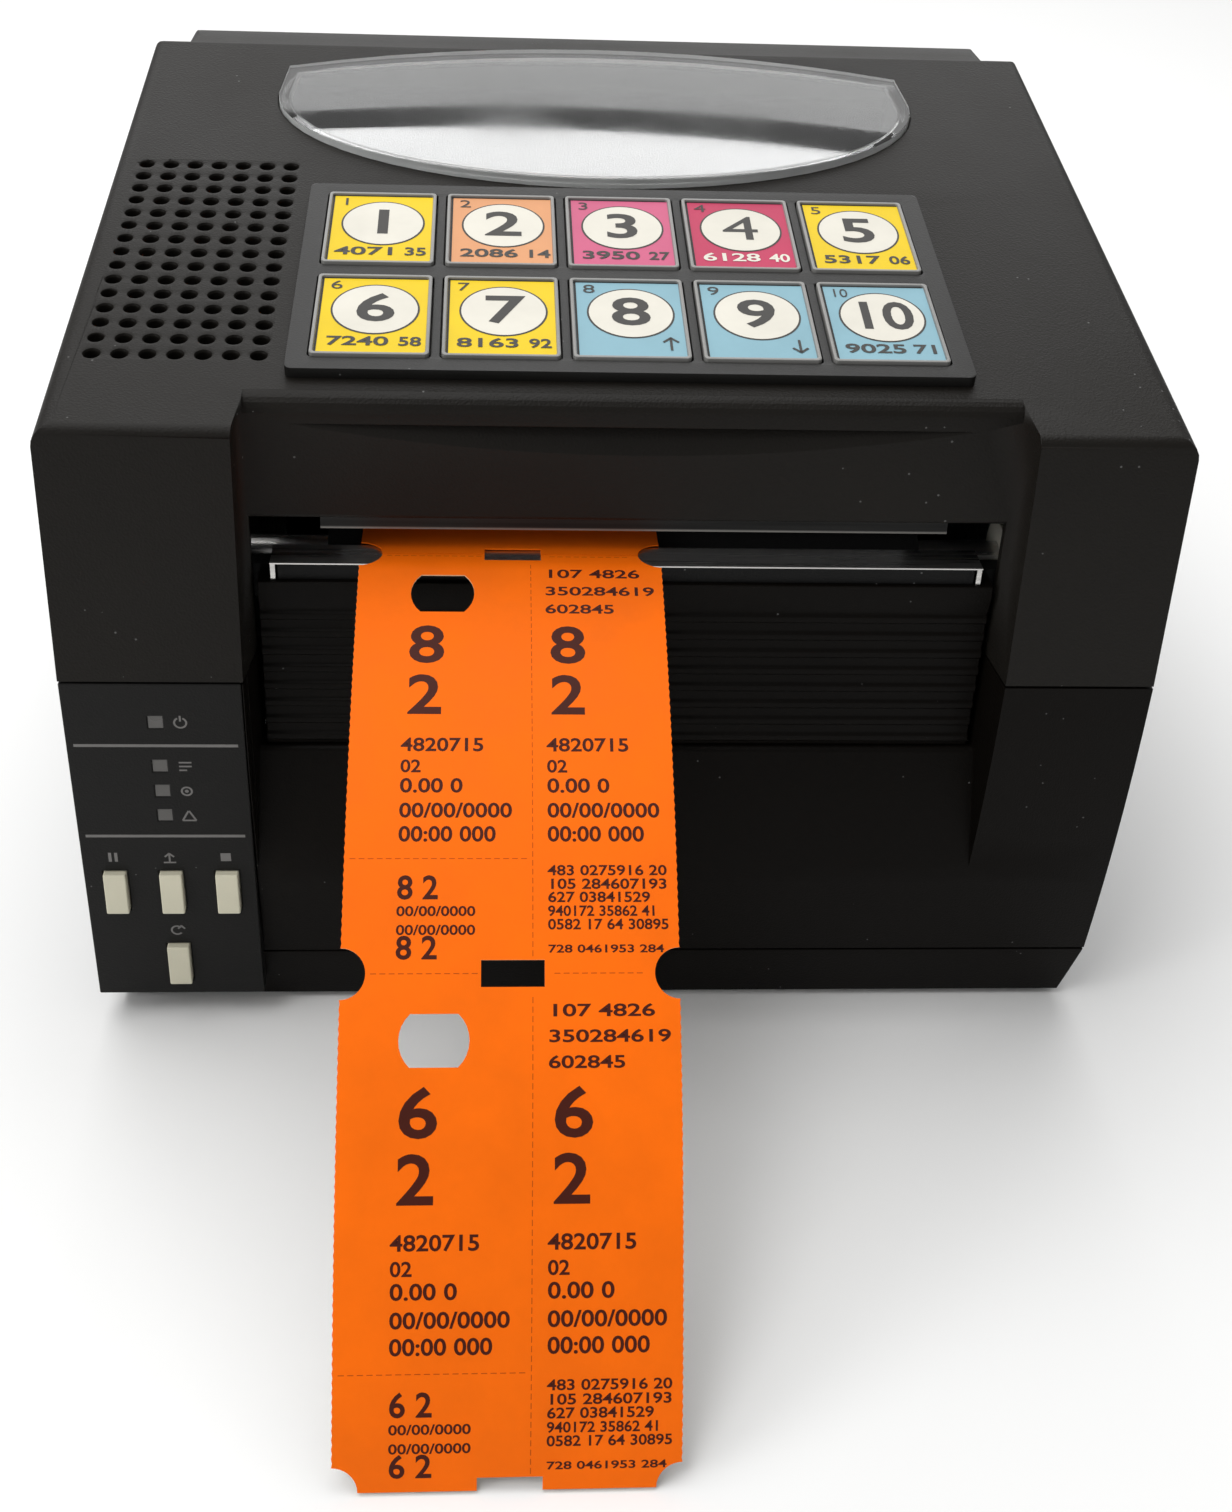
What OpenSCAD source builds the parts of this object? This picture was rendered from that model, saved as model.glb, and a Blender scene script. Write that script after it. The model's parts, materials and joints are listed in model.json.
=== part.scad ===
// Desktop ticket printer: a cover with a keypad, hinged at the rear over a lower case
// that holds the print works and the ticket roll.
// +X is to the right as seen from the front, +Y to the rear, +Z up from the table.
// Heights count from the table. Depths count from the columns' front top edge,
// and every piece is then moved back to front by origin_y, so that the origin is under the middle.

/* [Body] */
// Width across the sides
body_w = 231; // [225:1:240]
// Depth from the columns' front to the rear face
body_d = 289; // [285:1:300]
// Height of the columns' front top edge
front_h = 152.5; // [151:0.5:158]
// Slope of the top, rising to the rear, in degrees
top_slope = 11; // [10:0.5:12]
// Depth of the sloping top
top_run = 170; // [168:1:176]
// Height of the seam between cover and lower case
seam_z = 95.5; // [94:0.5:97]
// Height of the seam between lower case and base
base_seam_z = 17.3; // [16:0.1:19]
// Forward lean of the columns' front from top edge to seam
front_lean = 2.7; // [2:0.1:3.5]
// Radius of the bowed lower front
bow_r = 488; // [460:1:600]
// Wall of the mouldings
wall = 3; // [2.6:0.1:3.2]
// Open seam between mouldings
seam_gap = 0.6; // [0.4:0.1:0.8]
// Inset of the rear hood from the sides
rear_inset = 7.5; // [5:0.5:9]
// Height at which the rear hood's slope meets the rear face
rear_face_h = 142; // [136:1:148]
// Inward draft of the base from seam to table
base_draft = 3.2; // [2:0.1:4]
// Height of the rubber feet
foot_h = 2; // [1.5:0.1:3]
// Diameter of the rubber feet
foot_d = 18; // [14:1:20]
// Radius of the long outer edges
edge_r = 4; // [2:0.5:5]

/* [Front recess] */
// Width of the left column at the lip
left_column = 39.5; // [38.5:0.5:40.5]
// Width of the right column at the lip
right_column = 33.5; // [32.5:0.5:34.5]
// Widening of the recess towards the front
recess_draft = 1.6; // [0.8:0.1:2]
// Set-back of the cover's lip
lip_set = 10.5; // [10:0.1:11]
// Lower edge of the lip
lip_z = 127.5; // [127:0.5:129]
// Thickness of the lip
lip_t = 6; // [5.5:0.1:6.5]
// Height of the finger scoop's straight edge
scoop_z = 149; // [147:0.5:150]
// Width of the finger scoop
scoop_w = 150; // [120:1:152]
// Height of the finger scoop at its middle
scoop_h = 6.2; // [4:0.1:8]
// Radius of the finger scoop
scoop_r = 800; // [700:10:1200]
// Top of the lower centre panel
apron_top = 72; // [70:0.5:74]
// Height at which the lower centre panel meets the bow
apron_foot = 45; // [40:1:50]
// Set-back of the lower centre panel's top edge
apron_set = 8; // [7.5:0.1:8.2]

/* [Keypad] */
// Key width
key_w = 24.4; // [23:0.1:24.8]
// Key length along the slope
key_l = 30.3; // [28:0.1:31]
// Key spacing across
key_pitch_x = 26.9; // [26.7:0.1:27.4]
// Key spacing along the slope
key_pitch_v = 35.2; // [34.8:0.1:36]
// Middle of the keypad, from the body's middle
key_x = 2.5; // [1:0.1:4]
// Middle of the keypad along the slope
key_v = 55.2; // [54.8:0.1:56]
// Height of the key tops above the plate
key_rise = 0.6; // [0.4:0.1:1.2]
// Key travel
key_travel = 1; // [0.6:0.1:1.5]
// Rim of the keypad plate around the keys
pad_rim = 4.6; // [4:0.1:5]
// Thickness of the keypad plate
pad_t = 2.4; // [2:0.1:3]

/* [Vents and window] */
// Vent columns
vent_cols = 7; // [5:1:7]
// Vent rows
vent_rows = 15; // [8:1:15]
// Vent spacing
vent_pitch = 5.63; // [5:0.01:5.8]
// Vent hole diameter
vent_d = 3.3; // [2.5:0.1:3.6]
// First vent column, from the body's side
vent_side = 7.8; // [7.5:0.1:9]
// First vent row along the slope
vent_v = 25.8; // [24:0.1:28]
// Half width of the window
window_half = 80; // [74:0.5:82]
// Front of the window along the slope
window_v = 97.5; // [97:0.5:100]
// Depth of the window's curved front
window_bow = 43; // [38:1:45]
// Length of the window's straight sides
window_side = 15; // [12:1:16]
// Rise of the window's curved rear
window_arc = 11; // [8:0.5:11]
// Thickness of the window
window_t = 2.5; // [2:0.1:3]
// Crown of the window across its width
window_crown = 1.2; // [1:0.1:2]

/* [Operation panel] */
// Thickness of the panel
panel_t = 4; // [3.8:0.1:4.5]
// Lower edge of the panel
panel_foot = 8; // [7:0.5:9]
// Backward lean of the panel's face over its height
panel_lean = 2.5; // [1.5:0.1:3]
// Middle of the button column, from the body's side
panel_mid = 19.2; // [18.5:0.1:19.6]
// Button width
button_w = 5; // [4:0.1:5.5]
// Button height
button_h = 11; // [9:0.1:11.5]
// Button spacing
button_pitch = 12.3; // [11:0.1:12.5]
// Height of the button row
button_z = 39.1; // [38:0.1:41]
// Height of the lower button
mode_z = 17.7; // [17:0.1:19]
// Button stand above the panel
button_rise = 1.6; // [1.2:0.1:2]
// Button travel
button_travel = 1; // [0.5:0.1:1]
// Side of the square indicator lights
led_w = 3.1; // [2.5:0.1:3.5]
// Height of the top indicator light
led_z = 85.4; // [84:0.1:87]
// Drop from the top light to the second
led_drop = 11.5; // [10:0.1:12]
// Spacing of the lower lights
led_pitch = 6.7; // [6:0.1:7]

/* [Print works] */
// Platen roller diameter
platen_d = 16; // [15:0.1:16.2]
// Platen roller length
platen_l = 128; // [120:1:130]
// Platen shaft diameter
platen_shaft_d = 8; // [6:0.1:9]
// Depth of the platen axis
platen_y = 27; // [26.8:0.1:28]
// Height of the platen's top, where tickets are printed
platen_top = 118.2; // [118:0.1:118.8]
// Gear module
gear_m = 1; // [0.95:0.01:1.02]
// Teeth of the platen gear
platen_teeth = 24; // [22:1:26]
// Teeth of the idler gear
idler_teeth = 40; // [38:1:42]
// Teeth of the motor pinion
pinion_teeth = 18; // [18:1:20]
// Face width of the gears
gear_w = 6; // [5:0.1:7]
// Gear backlash
backlash = 0.2; // [0.15:0.01:0.3]
// Motor square
motor_w = 42; // [39:1:43]
// Motor length
motor_l = 36; // [30:1:40]
// Motor shaft diameter
motor_shaft_d = 5; // [4:0.1:6]
// Thickness of the steel side frames
frame_t = 2; // [1.6:0.1:2.4]

/* [Tickets] */
// Ticket width
ticket_w = 63; // [56:1:64]
// Thickness of the ticket card
ticket_t = 0.3; // [0.2:0.05:0.35]
// Middle of the ticket, from the body's middle
ticket_x = -22; // [-22.5:0.5:-20]
// Radius of the printed strip's bend over the tear bar
bend_r = 8; // [6:0.5:10]
// Slope of the printed strip below its bend, in degrees
bend_turn = 20; // [16:1:22]
// Radius of the arc in which the printed strip falls
fall_r = 224; // [215:1:240]
// Height of the strip's end above the table
tip_z = 0.6; // [0.4:0.1:1]
// Roll diameter
roll_d = 90; // [70:1:94]
// Bore of the roll's core
core_d = 25.4; // [25.4:0.1:26]
// Wall of the roll's core
core_t = 3; // [2:0.1:4]
// Distance of the roll's axis from the rear face
roll_back = 86.3; // [85:0.1:88]
// Height of the roll's axis
roll_z = 88; // [87:0.5:90]

/* [Fits] */
// Radial clearance of turning fits
turn_fit = 0.05; // [0.02:0.01:0.08]
// Radial clearance of fixed fits
fixed_fit = 0.02; // [0.01:0.01:0.04]
// Gap between parts that move past each other
move_gap = 0.3; // [0.2:0.05:0.35]

/* [Hidden] */
$fn = 64;
half_w = body_w / 2;
recess_left = half_w - left_column;
recess_right = half_w - right_column;
print_x = (recess_right - recess_left) / 2;
rear_y = body_d - front_lean;
roll_y = rear_y - roll_back;
cover_z = seam_z + seam_gap / 2;
case_top = seam_z - seam_gap / 2;
case_foot = base_seam_z + seam_gap / 2;
base_top = base_seam_z - seam_gap / 2;
floor_z = foot_h + wall;
lip_in = lip_set + lip_t;
hood_half = half_w - rear_inset;
fall_y = lip_set - 1.5;
web_z = platen_top + 0.1;
bend_z = web_z - bend_r;
// Middle of the arc, in depth and height
fall_at = [fall_y, bend_z] + (fall_r - bend_r) * [sin(bend_turn), -cos(bend_turn)];
tip_y = fall_at[0] - sqrt(pow(fall_r + ticket_t, 2) - pow(tip_z - fall_at[1], 2));
origin_y = (tip_y + rear_y) / 2;
far = 400;
skin_gap = 0.1;

// Height of the top's outer and inner surface at depth y
function top_z(y) = front_h + y * tan(top_slope);
function roof_z(y) = top_z(y) - wall / cos(top_slope);
// Depth of the bowed front at height z
function bow_y(z) = bow_r - front_lean - sqrt(bow_r * bow_r - (seam_z - z) * (seam_z - z));
// Depth of the operation panel's face and back at height z
function panel_y(z) = panel_lean * (seam_z - z) / (seam_z - panel_foot) - front_lean;
function panel_back(z) = panel_y(z) + panel_t;

function unit(v) = v / norm(v);
function dir(a) = [cos(a), sin(a)];
// Points of an ellipse arc round c
function bend(c, rx, ry, a0, a1, n) = [for (k = [0:n]) c + [rx * cos(a0 + (a1 - a0) * k / n),
                                                           ry * sin(a0 + (a1 - a0) * k / n)]];
// Corner b of an outline, rounded to radius r
function corner(a, b, c, r, n) =
    r <= 0 ? [b] :
    let (u = unit(a - b), v = unit(c - b), half = acos(u * v) / 2)
    let (mid = b + unit(u + v) * r / sin(half), start = b + u * r / tan(half) - mid)
    let (sweep = (180 - 2 * half) * (cross(-u, v) > 0 ? 1 : -1), a0 = atan2(start[1], start[0]))
    [for (k = [0:n]) mid + r * dir(a0 + sweep * k / n)];
// Outline p with a radius r for each of its corners
function rounded(p, r, n = 5) =
    let (m = len(p)) [for (i = [0:m - 1]) each corner(p[(i + m - 1) % m], p[i], p[(i + 1) % m], r[i], n)];
// Outline p, counter-clockwise, drawn in by d
function inset(p, d) =
    let (m = len(p))
    [for (i = [0:m - 1])
        let (a = unit(p[i] - p[(i + m - 1) % m]), b = unit(p[(i + 1) % m] - p[i]))
        let (na = [-a[1], a[0]], nb = [-b[1], b[0]])
        p[i] + d * (na + nb) / (1 + na * nb)];
// Rectangle w by h round c, with corners of radius r
function plate(c, w, h, r) = rounded([c + [-w, -h] / 2, c + [w, -h] / 2, c + [w, h] / 2, c + [-w, h] / 2],
                                     [r, r, r, r]);

module placed() translate([0, -origin_y, 0]) children();
module box(lo, hi) translate(lo) cube(hi - lo);
// A profile in depth and height, drawn out across the width
module along_x(x0, x1) translate([x0, 0, 0]) rotate([90, 0, 90]) linear_extrude(x1 - x0) children();
// A profile in width and height, drawn out along the depth
module along_y(y0, y1) translate([0, y1, 0]) rotate([90, 0, 0]) linear_extrude(y1 - y0) children();
module rod_x(x0, x1, y, z, d) translate([x0, y, z]) rotate([0, 90, 0]) cylinder(d = d, h = x1 - x0);
module rod_y(y0, y1, x, z, d) translate([x, y0, z]) rotate([-90, 0, 0]) cylinder(d = d, h = y1 - y0);
module rod_z(z0, z1, x, y, d) translate([x, y, z0]) cylinder(d = d, h = z1 - z0);
// The frame of the sloping top: across, along the slope, and out of the surface
module on_top() translate([0, 0, front_h]) rotate([top_slope, 0, 0]) children();
// Everything behind the bowed front, drawn in by d
module bow(d = 0) rod_x(-far, far, bow_r - front_lean, seam_z, 2 * (bow_r - d));

// Cover

hood_side = [[-front_lean, cover_z], [top_run, cover_z], [top_run, top_z(top_run)], [0, front_h]];
crest_y = top_run + 18;
crest_z = top_z(top_run) - 1.4;
hood_start = top_run - 5;
rear_side = [[hood_start, cover_z], [rear_y, cover_z], [rear_y, rear_face_h], [crest_y, crest_z],
             [hood_start, crest_z]];
rear_slope = atan2(crest_z - rear_face_h, rear_y - crest_y);
crest_r = 60;
tail_r = 14;

// A tunnel with rounded upper edges, its roof at height 0, along the depth
module tunnel(half, y0, y1)
    along_y(y0, y1)
        polygon(rounded([[-half, -far], [half, -far], [half, 0], [-half, 0]], [0, 0, edge_r, edge_r]));

module main_hood()
    intersection() {
        along_x(-half_w, half_w) polygon(rounded(hood_side, [0, 0, 3, 2.5]));
        on_top() tunnel(half_w, -far, far);
    }

module rear_hood()
    intersection() {
        along_x(-hood_half, hood_half) polygon(rounded(rear_side, [0, 0, tail_r, crest_r, 0], 10));
        translate([0, 0, crest_z]) tunnel(hood_half, -far, far);
        translate([0, crest_y, crest_z]) rotate([-rear_slope, 0, 0]) tunnel(hood_half, -far, far);
    }

// Plan of the front recess, from the front to depth y1, widened by d
module recess_plan(y1, d = 0)
    polygon([[-recess_left - d, y1], [-recess_left - d, lip_set],
             [-recess_left - recess_draft - d, -front_lean - 2],
             [recess_right + recess_draft + d, -front_lean - 2],
             [recess_right + d, lip_set], [recess_right + d, y1]]);

module cover_cavity() {
    low = cover_z - 1;
    tail = inset(rear_side, wall);
    neck = top_run - 2 * wall;
    back = top_run - wall;
    along_x(-half_w + wall, half_w - wall)
        polygon([[lip_in, low], [back, low], [back, roof_z(back)], [lip_in, roof_z(lip_in)]]);
    along_x(-hood_half + wall, hood_half - wall)
        polygon(rounded([[neck, low], [tail[1][0], low], tail[2], tail[3], [neck, tail[4][1]]],
                        [0, 0, tail_r - wall, crest_r - wall, 0], 10));
    for (x = [[-half_w + wall, -recess_left - recess_draft - wall],
              [recess_right + recess_draft + wall, half_w - wall]])
        along_x(x[0], x[1])
            polygon([[wall - front_lean, low], [lip_in + 1, low], [lip_in + 1, roof_z(lip_in + 1)],
                     [wall, roof_z(wall)]]);
    // Below the lip the columns' inner walls stop short of the print works
    along_x(-half_w + wall, half_w - wall)
        polygon([[lip_set + 2, low], [lip_in + 1, low], [lip_in + 1, lip_z], [lip_set + 2, lip_z]]);
}

module lip()
    difference() {
        along_x(-recess_left - 1, recess_right + 1)
            polygon(rounded([[lip_set, lip_z], [lip_in, lip_z], [lip_in, roof_z(lip_in)],
                             [lip_in + 3, roof_z(lip_in + 3)], [lip_in + 3, top_z(lip_in + 3)],
                             [lip_set, top_z(lip_set)]], [1, 1, 0, 0, 0, edge_r]));
        // The finger scoop: a wide cylinder, tilted so that it runs out below its straight edge
        scoop_d = scoop_r - sqrt(scoop_r * scoop_r - scoop_w * scoop_w / 4);
        intersection() {
            translate([print_x, lip_set, scoop_z - scoop_h])
                rotate([-atan2(scoop_d, scoop_h), 0, 0])
                    translate([0, -scoop_r, -20]) cylinder(r = scoop_r, h = 60, $fn = 256);
            box([-far, -far, scoop_z - 20], [far, far, scoop_z]);
        }
    }

// Hinge

hinge_inset = 4.3;
hinge_y = rear_y - hinge_inset;
hinge_z = seam_z + 2;
knuckle_r = 4;
hinge_pin_d = 4;
hinge_x = hood_half - 28;
knuckle_half = 20;
leaf_half = 10;
swing_r = knuckle_r + 0.9;
upstand = 1.5;

module hinge_leaf(x0, x1, up, bore)
    difference() {
        union() {
            rod_x(x0, x1, hinge_y, hinge_z, 2 * knuckle_r);
            box([x0, hinge_y - knuckle_r + 1, up ? hinge_z : hinge_z - 8],
                [x1, rear_y - 0.1, up ? hinge_z + swing_r + 1 : hinge_z]);
        }
        rod_x(x0 - 1, x1 + 1, hinge_y, hinge_z, bore);
    }

module cover_leaves()
    for (x = [-hinge_x, hinge_x])
        hinge_leaf(x - leaf_half + move_gap, x + leaf_half - move_gap, true, hinge_pin_d + 2 * turn_fit);

module case_leaves()
    for (x = [-hinge_x, hinge_x], s = [-1, 1])
        hinge_leaf(x + (s < 0 ? -knuckle_half : leaf_half), x + (s < 0 ? -leaf_half : knuckle_half), false,
                   hinge_pin_d + 2 * fixed_fit);

module hinge_pins()
    color("silver") placed()
        for (x = [-hinge_x, hinge_x])
            rod_x(x - knuckle_half, x + knuckle_half, hinge_y, hinge_z, hinge_pin_d);

// Window in the sloping top

window_wide = window_v + window_bow;
window_rear = window_wide + window_side;
window_taper = 1.4;
rear_half = window_half - window_taper;
arc_r = (rear_half * rear_half + window_arc * window_arc) / (2 * window_arc);
arc_turn = asin(rear_half / arc_r);
crown_r = (window_half * window_half + window_crown * window_crown) / (2 * window_crown);
window_seat = 3.2;
pocket_d = 1.5;
window_outline = concat(bend([0, window_wide], window_half, window_bow, 180, 360, 28),
                        bend([0, window_rear + window_arc - arc_r], arc_r, arc_r,
                             90 - arc_turn, 90 + arc_turn, 12));

module crown_cylinder(r, top)
    translate([0, -far, top - r]) rotate([-90, 0, 0]) cylinder(r = r, h = 2 * far, $fn = 256);

module window()
    color([0.8, 0.85, 0.88, 0.4]) placed() on_top() {
        top = window_crown + window_t - pocket_d;
        difference() {
            intersection() {
                translate([0, 0, -pocket_d]) linear_extrude(top + pocket_d)
                    polygon(inset(window_outline, skin_gap));
                crown_cylinder(crown_r, top);
            }
            intersection() {
                translate([0, 0, -far]) linear_extrude(2 * far) polygon(inset(window_outline, window_seat));
                crown_cylinder(crown_r - window_t, top - window_t);
            }
        }
    }

// Keypad

key_cols = 5;
key_rows = 2;
key_gap = 0.3;
key_flange = 0.6;
key_r = 1;
key_frame = 0.8;
label_d = 0.6;
stem_d = 6;
pad_w = (key_cols - 1) * key_pitch_x + key_w + 2 * pad_rim;
pad_l = (key_rows - 1) * key_pitch_v + key_l + 2 * pad_rim;
pad_lip = 3;
switch_h = 2.9;
flange_t = 1.2;
stem_low = -4.4;
board_w = stem_low - key_travel - move_gap - switch_h;
board_t = 1.6;
// Middle of a key, counted along the rear row and then the front row
function key_at(n) = [key_x + ((n - 1) % key_cols - (key_cols - 1) / 2) * key_pitch_x,
                      key_v + (n <= key_cols ? 1 : -1) * key_pitch_v / 2];

module keypad_plate()
    color([0.07, 0.07, 0.08]) placed() on_top() {
        difference() {
            linear_extrude(pad_t) polygon(plate([key_x, key_v], pad_w, pad_l, 1.5));
            for (n = [1:key_cols * key_rows])
                translate([0, 0, -1]) linear_extrude(pad_t + 2)
                    polygon(plate(key_at(n), key_w + 2 * key_gap, key_l + 2 * key_gap, key_r));
        }
        // Posts between the keys carry the board
        for (k = [-1.5:1:1.5])
            translate([key_x + k * key_pitch_x, key_v, board_w]) cylinder(d = 2.4, h = -board_w);
    }

module keypad_board()
    color("darkgreen") placed() on_top() {
        translate([0, 0, board_w - board_t]) linear_extrude(board_t)
            polygon(plate([key_x, key_v], pad_w - 16, pad_l - 16, 1));
        for (n = [1:key_cols * key_rows])
            translate([0, 0, board_w]) linear_extrude(switch_h) polygon(plate(key_at(n), 12, 12, 0.8));
    }

// A key with a framed pocket for its label, a flange under the plate and a stem to its switch
module key(n)
    color("gainsboro") placed() on_top() {
        c = key_at(n);
        low = -move_gap - flange_t;
        difference() {
            union() {
                translate([0, 0, low]) linear_extrude(flange_t)
                    polygon(plate(c, key_w + 2 * key_flange, key_l + 2 * key_flange, key_r));
                translate([0, 0, low]) linear_extrude(pad_t + key_rise - low)
                    polygon(plate(c, key_w, key_l, key_r));
            }
            translate([0, 0, pad_t + key_rise - label_d]) linear_extrude(far)
                polygon(plate(c, key_w - 2 * key_frame, key_l - 2 * key_frame, 0.6));
        }
        translate([c[0], c[1], stem_low]) cylinder(d = stem_d, h = low - stem_low);
    }

// Print head, hung under the cover

head_low = platen_top + ticket_t + 0.3;
head_top = head_low + 9;
bracket_z = head_top + 3;
bracket_t = 2;
head_half = 61;
head_x0 = print_x - head_half;
head_x1 = print_x + head_half;
head_y0 = platen_y - 6;
head_y1 = platen_y + 21;
post_x = [head_x0 - 12, head_x1 + 12];
post_y = [head_y0 + 3, head_y1 + 4];
bracket_x = [post_x[0] - 5, post_x[1] + 5];
bracket_y = head_y1 + 9;
head_pin_x = [head_x0 + 12, head_x1 - 12];
head_pin_d = 4;
guard_x = [14.5 - recess_left, recess_right - 12];
guard_y = lip_set + 1.5;
guard_t = 0.8;
guard_top = lip_z - skin_gap;

module head_bracket()
    color("silver") placed() {
        difference() {
            union() {
                box([bracket_x[0], head_y0 - 2, bracket_z],
                    [bracket_x[1], bracket_y, bracket_z + bracket_t]);
                box([bracket_x[0], bracket_y - bracket_t, bracket_z - 5],
                    [bracket_x[1], bracket_y, bracket_z + bracket_t]);
            }
            for (k = [-2.5:1:2.5])
                translate([print_x + k * 16, head_y0 + 8, bracket_z - 1])
                    box([-5, 0, 0], [5, 14, bracket_t + 2]);
        }
        for (x = head_pin_x)
            rod_z(head_low + 3, bracket_z, x, head_y1 - 5, head_pin_d);
    }

module print_head()
    color("dimgray") placed()
        difference() {
            along_x(head_x0, head_x1)
                polygon([[platen_y - 3, head_low], [platen_y + 3, head_low], [head_y1, head_low + 2],
                         [head_y1, head_top], [head_y0, head_top], [head_y0, head_low + 2]]);
            for (x = head_pin_x)
                rod_z(head_low - 1, head_top + 1, x, head_y1 - 5, head_pin_d + 2 * turn_fit);
            // Cooling slots along the top
            for (y = [head_y0 + 4:4:head_y1 - 12])
                box([head_x0 + 4, y, head_top - 3], [head_x1 - 4, y + 1.6, head_top + 1]);
        }

module head_spring()
    color("lightsteelblue") placed() {
        leaf_t = 0.5;
        flat = 3;
        crest = [platen_y + 6, bracket_z - skin_gap];
        ends = [head_y0 + 2, head_y1 - 10];
        foot = head_top + skin_gap;
        for (x = [head_x0 + 24, head_x1 - 36])
            along_x(x, x + 12)
                polygon([[ends[0], foot], [ends[0], foot + leaf_t], crest - [flat, 0], crest + [flat, 0],
                         [ends[1], foot + leaf_t], [ends[1], foot], crest + [flat, -leaf_t],
                         crest - [flat, leaf_t]]);
    }

module head_guard()
    color("silver") placed()
        along_x(guard_x[0], guard_x[1])
            polygon([[guard_y, lip_z - 3], [guard_y + guard_t, lip_z - 3],
                     [guard_y + guard_t, guard_top - guard_t], [lip_in + 1, guard_top - guard_t],
                     [lip_in + 1, guard_top], [guard_y, guard_top]]);

module top_cover()
    color([0.16, 0.16, 0.17]) placed() {
        difference() {
            union() {
                main_hood();
                rear_hood();
            }
            cover_cavity();
            translate([0, 0, cover_z - 1]) linear_extrude(far) recess_plan(lip_set + lip_t / 2);
            translate([0, 0, cover_z - 1]) linear_extrude(lip_z - cover_z + 1) recess_plan(lip_in + 1);
            on_top() {
                translate([0, 0, -pocket_d]) linear_extrude(far) polygon(window_outline);
                translate([0, 0, -10]) linear_extrude(far) polygon(inset(window_outline, window_seat));
                translate([0, 0, -10]) linear_extrude(far)
                    polygon(plate([key_x, key_v], pad_w - 2 * pad_lip, pad_l - 2 * pad_lip, 1));
                for (c = [0:vent_cols - 1], r = [0:vent_rows - 1])
                    translate([vent_side - half_w + c * vent_pitch, vent_v + r * vent_pitch, -8])
                        cylinder(d = vent_d, h = 12, $fn = 24);
            }
            // Room for the hinge's swing
            box([-far, hinge_y - swing_r, cover_z - 1], [far, rear_y + 1, hinge_z + swing_r]);
        }
        lip();
        cover_leaves();
        for (x = post_x, y = post_y)
            rod_z(bracket_z + bracket_t, roof_z(y) + 1, x, y, 7);
    }

// Lower case

ahead = -20;
case_plan = [[-half_w, ahead], [half_w, ahead], [half_w, rear_y], [-half_w, rear_y]];
case_r = 8;
seat_t = 2.5;
bay_d = 5;
bay_x = [19.5 - half_w, half_w - 11.5];
bay_z = [28, 68];
bay_y = rear_y - bay_d;
boss_x = half_w - 11.5;
boss_y = [24, rear_y - 17];
boss_d = 9;
boss_top = 34;
screw_d = 3.2;
screw_head_d = 6.4;
screw_head_t = 1.8;
panel_x = [-half_w, -recess_left - recess_draft - 0.2];

// What lies behind the operation panel's back
module behind_panel(d = 0)
    along_x(-far, far) polygon([[panel_back(0) - d, 0], [far, 0], [far, far], [panel_back(far) - d, far]]);

// The opening behind the operation panel, for its lights, buttons and board
module panel_window() box([5 - half_w, -30, 0], [panel_x[1] - 3, lip_in, case_top - 4]);

module case_shell()
    difference() {
        intersection() {
            translate([0, 0, case_foot]) linear_extrude(case_top - case_foot)
                polygon(rounded(case_plan, [0, 0, case_r, case_r]));
            bow();
        }
        intersection() {
            translate([0, 0, -1]) linear_extrude(far)
                polygon(rounded(inset(case_plan, wall), [0, 0, case_r - wall, case_r - wall]));
            bow(wall);
        }
        // The front is open above the lower centre panel
        translate([0, 0, apron_foot]) linear_extrude(far) recess_plan(lip_in);
        // Seat of the operation panel
        difference() {
            box([-far, -20, 0], [panel_x[1] + 0.2, 20, far]);
            behind_panel();
        }
        panel_window();
    }

module recess_walls()
    intersection() {
        translate([0, 0, apron_foot - 6]) linear_extrude(case_top - apron_foot + 6)
            difference() {
                recess_plan(lip_in, wall);
                recess_plan(lip_in + 1);
            }
        bow();
        union() {
            box([0, -far, 0], [far, far, far]);
            behind_panel();
        }
    }

// The lower centre panel, raked from the bow back to its top edge
module apron()
    along_x(-recess_left - recess_draft, recess_right + wall)
        polygon(rounded([[bow_y(apron_foot), apron_foot], [bow_y(apron_foot) + wall, apron_foot],
                         [apron_set + wall, apron_top - wall], [lip_in, apron_top - wall],
                         [lip_in, apron_top], [apron_set, apron_top]], [0, 0, 0, 0, 0, 1.5]));

module panel_seat()
    intersection() {
        difference() {
            box([-half_w + 1, -20, case_foot], [panel_x[1] + 0.2, 20, case_top]);
            behind_panel(-seat_t);
            panel_window();
        }
        behind_panel();
        bow();
    }

// Ledges close the lower case beside the narrower rear hood
module rear_ledges()
    for (s = [-1, 1])
        box([s > 0 ? hood_half - wall - 1 : 1 - half_w, top_run - 8, case_top - wall],
            [s > 0 ? half_w - 1 : 1 + wall - hood_half, rear_y - wall, case_top]);

// The upstand between the hinges, and the walls of the port bay that is sunk in the rear
module rear_wall() {
    box([wall - hood_half, rear_y - wall, case_top - 2 * wall],
        [hood_half - wall, rear_y, hinge_z + upstand]);
    box([bay_x[0] - wall, bay_y - wall, bay_z[0] - wall], [bay_x[1] + wall, rear_y - 1, bay_z[1] + wall]);
}

inlet_x = bay_x[1] - 20;
switch_x = bay_x[1] - 58;
usb_x = bay_x[0] + 72;
serial_x = bay_x[0] + 32;
port_z = (bay_z[0] + bay_z[1]) / 2;
inlet_w = 27;
inlet_h = 20;
switch_w = 13;
switch_tall = 20;
usb_w = 12;
usb_h = 11;
serial_w = 17;
serial_h = 9;
port_gap = 0.1;

module port_hole(x, w, h) box([x - w / 2 - port_gap, bay_y - far, port_z - h / 2 - port_gap],
                              [x + w / 2 + port_gap, bay_y + 1, port_z + h / 2 + port_gap]);

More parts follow.
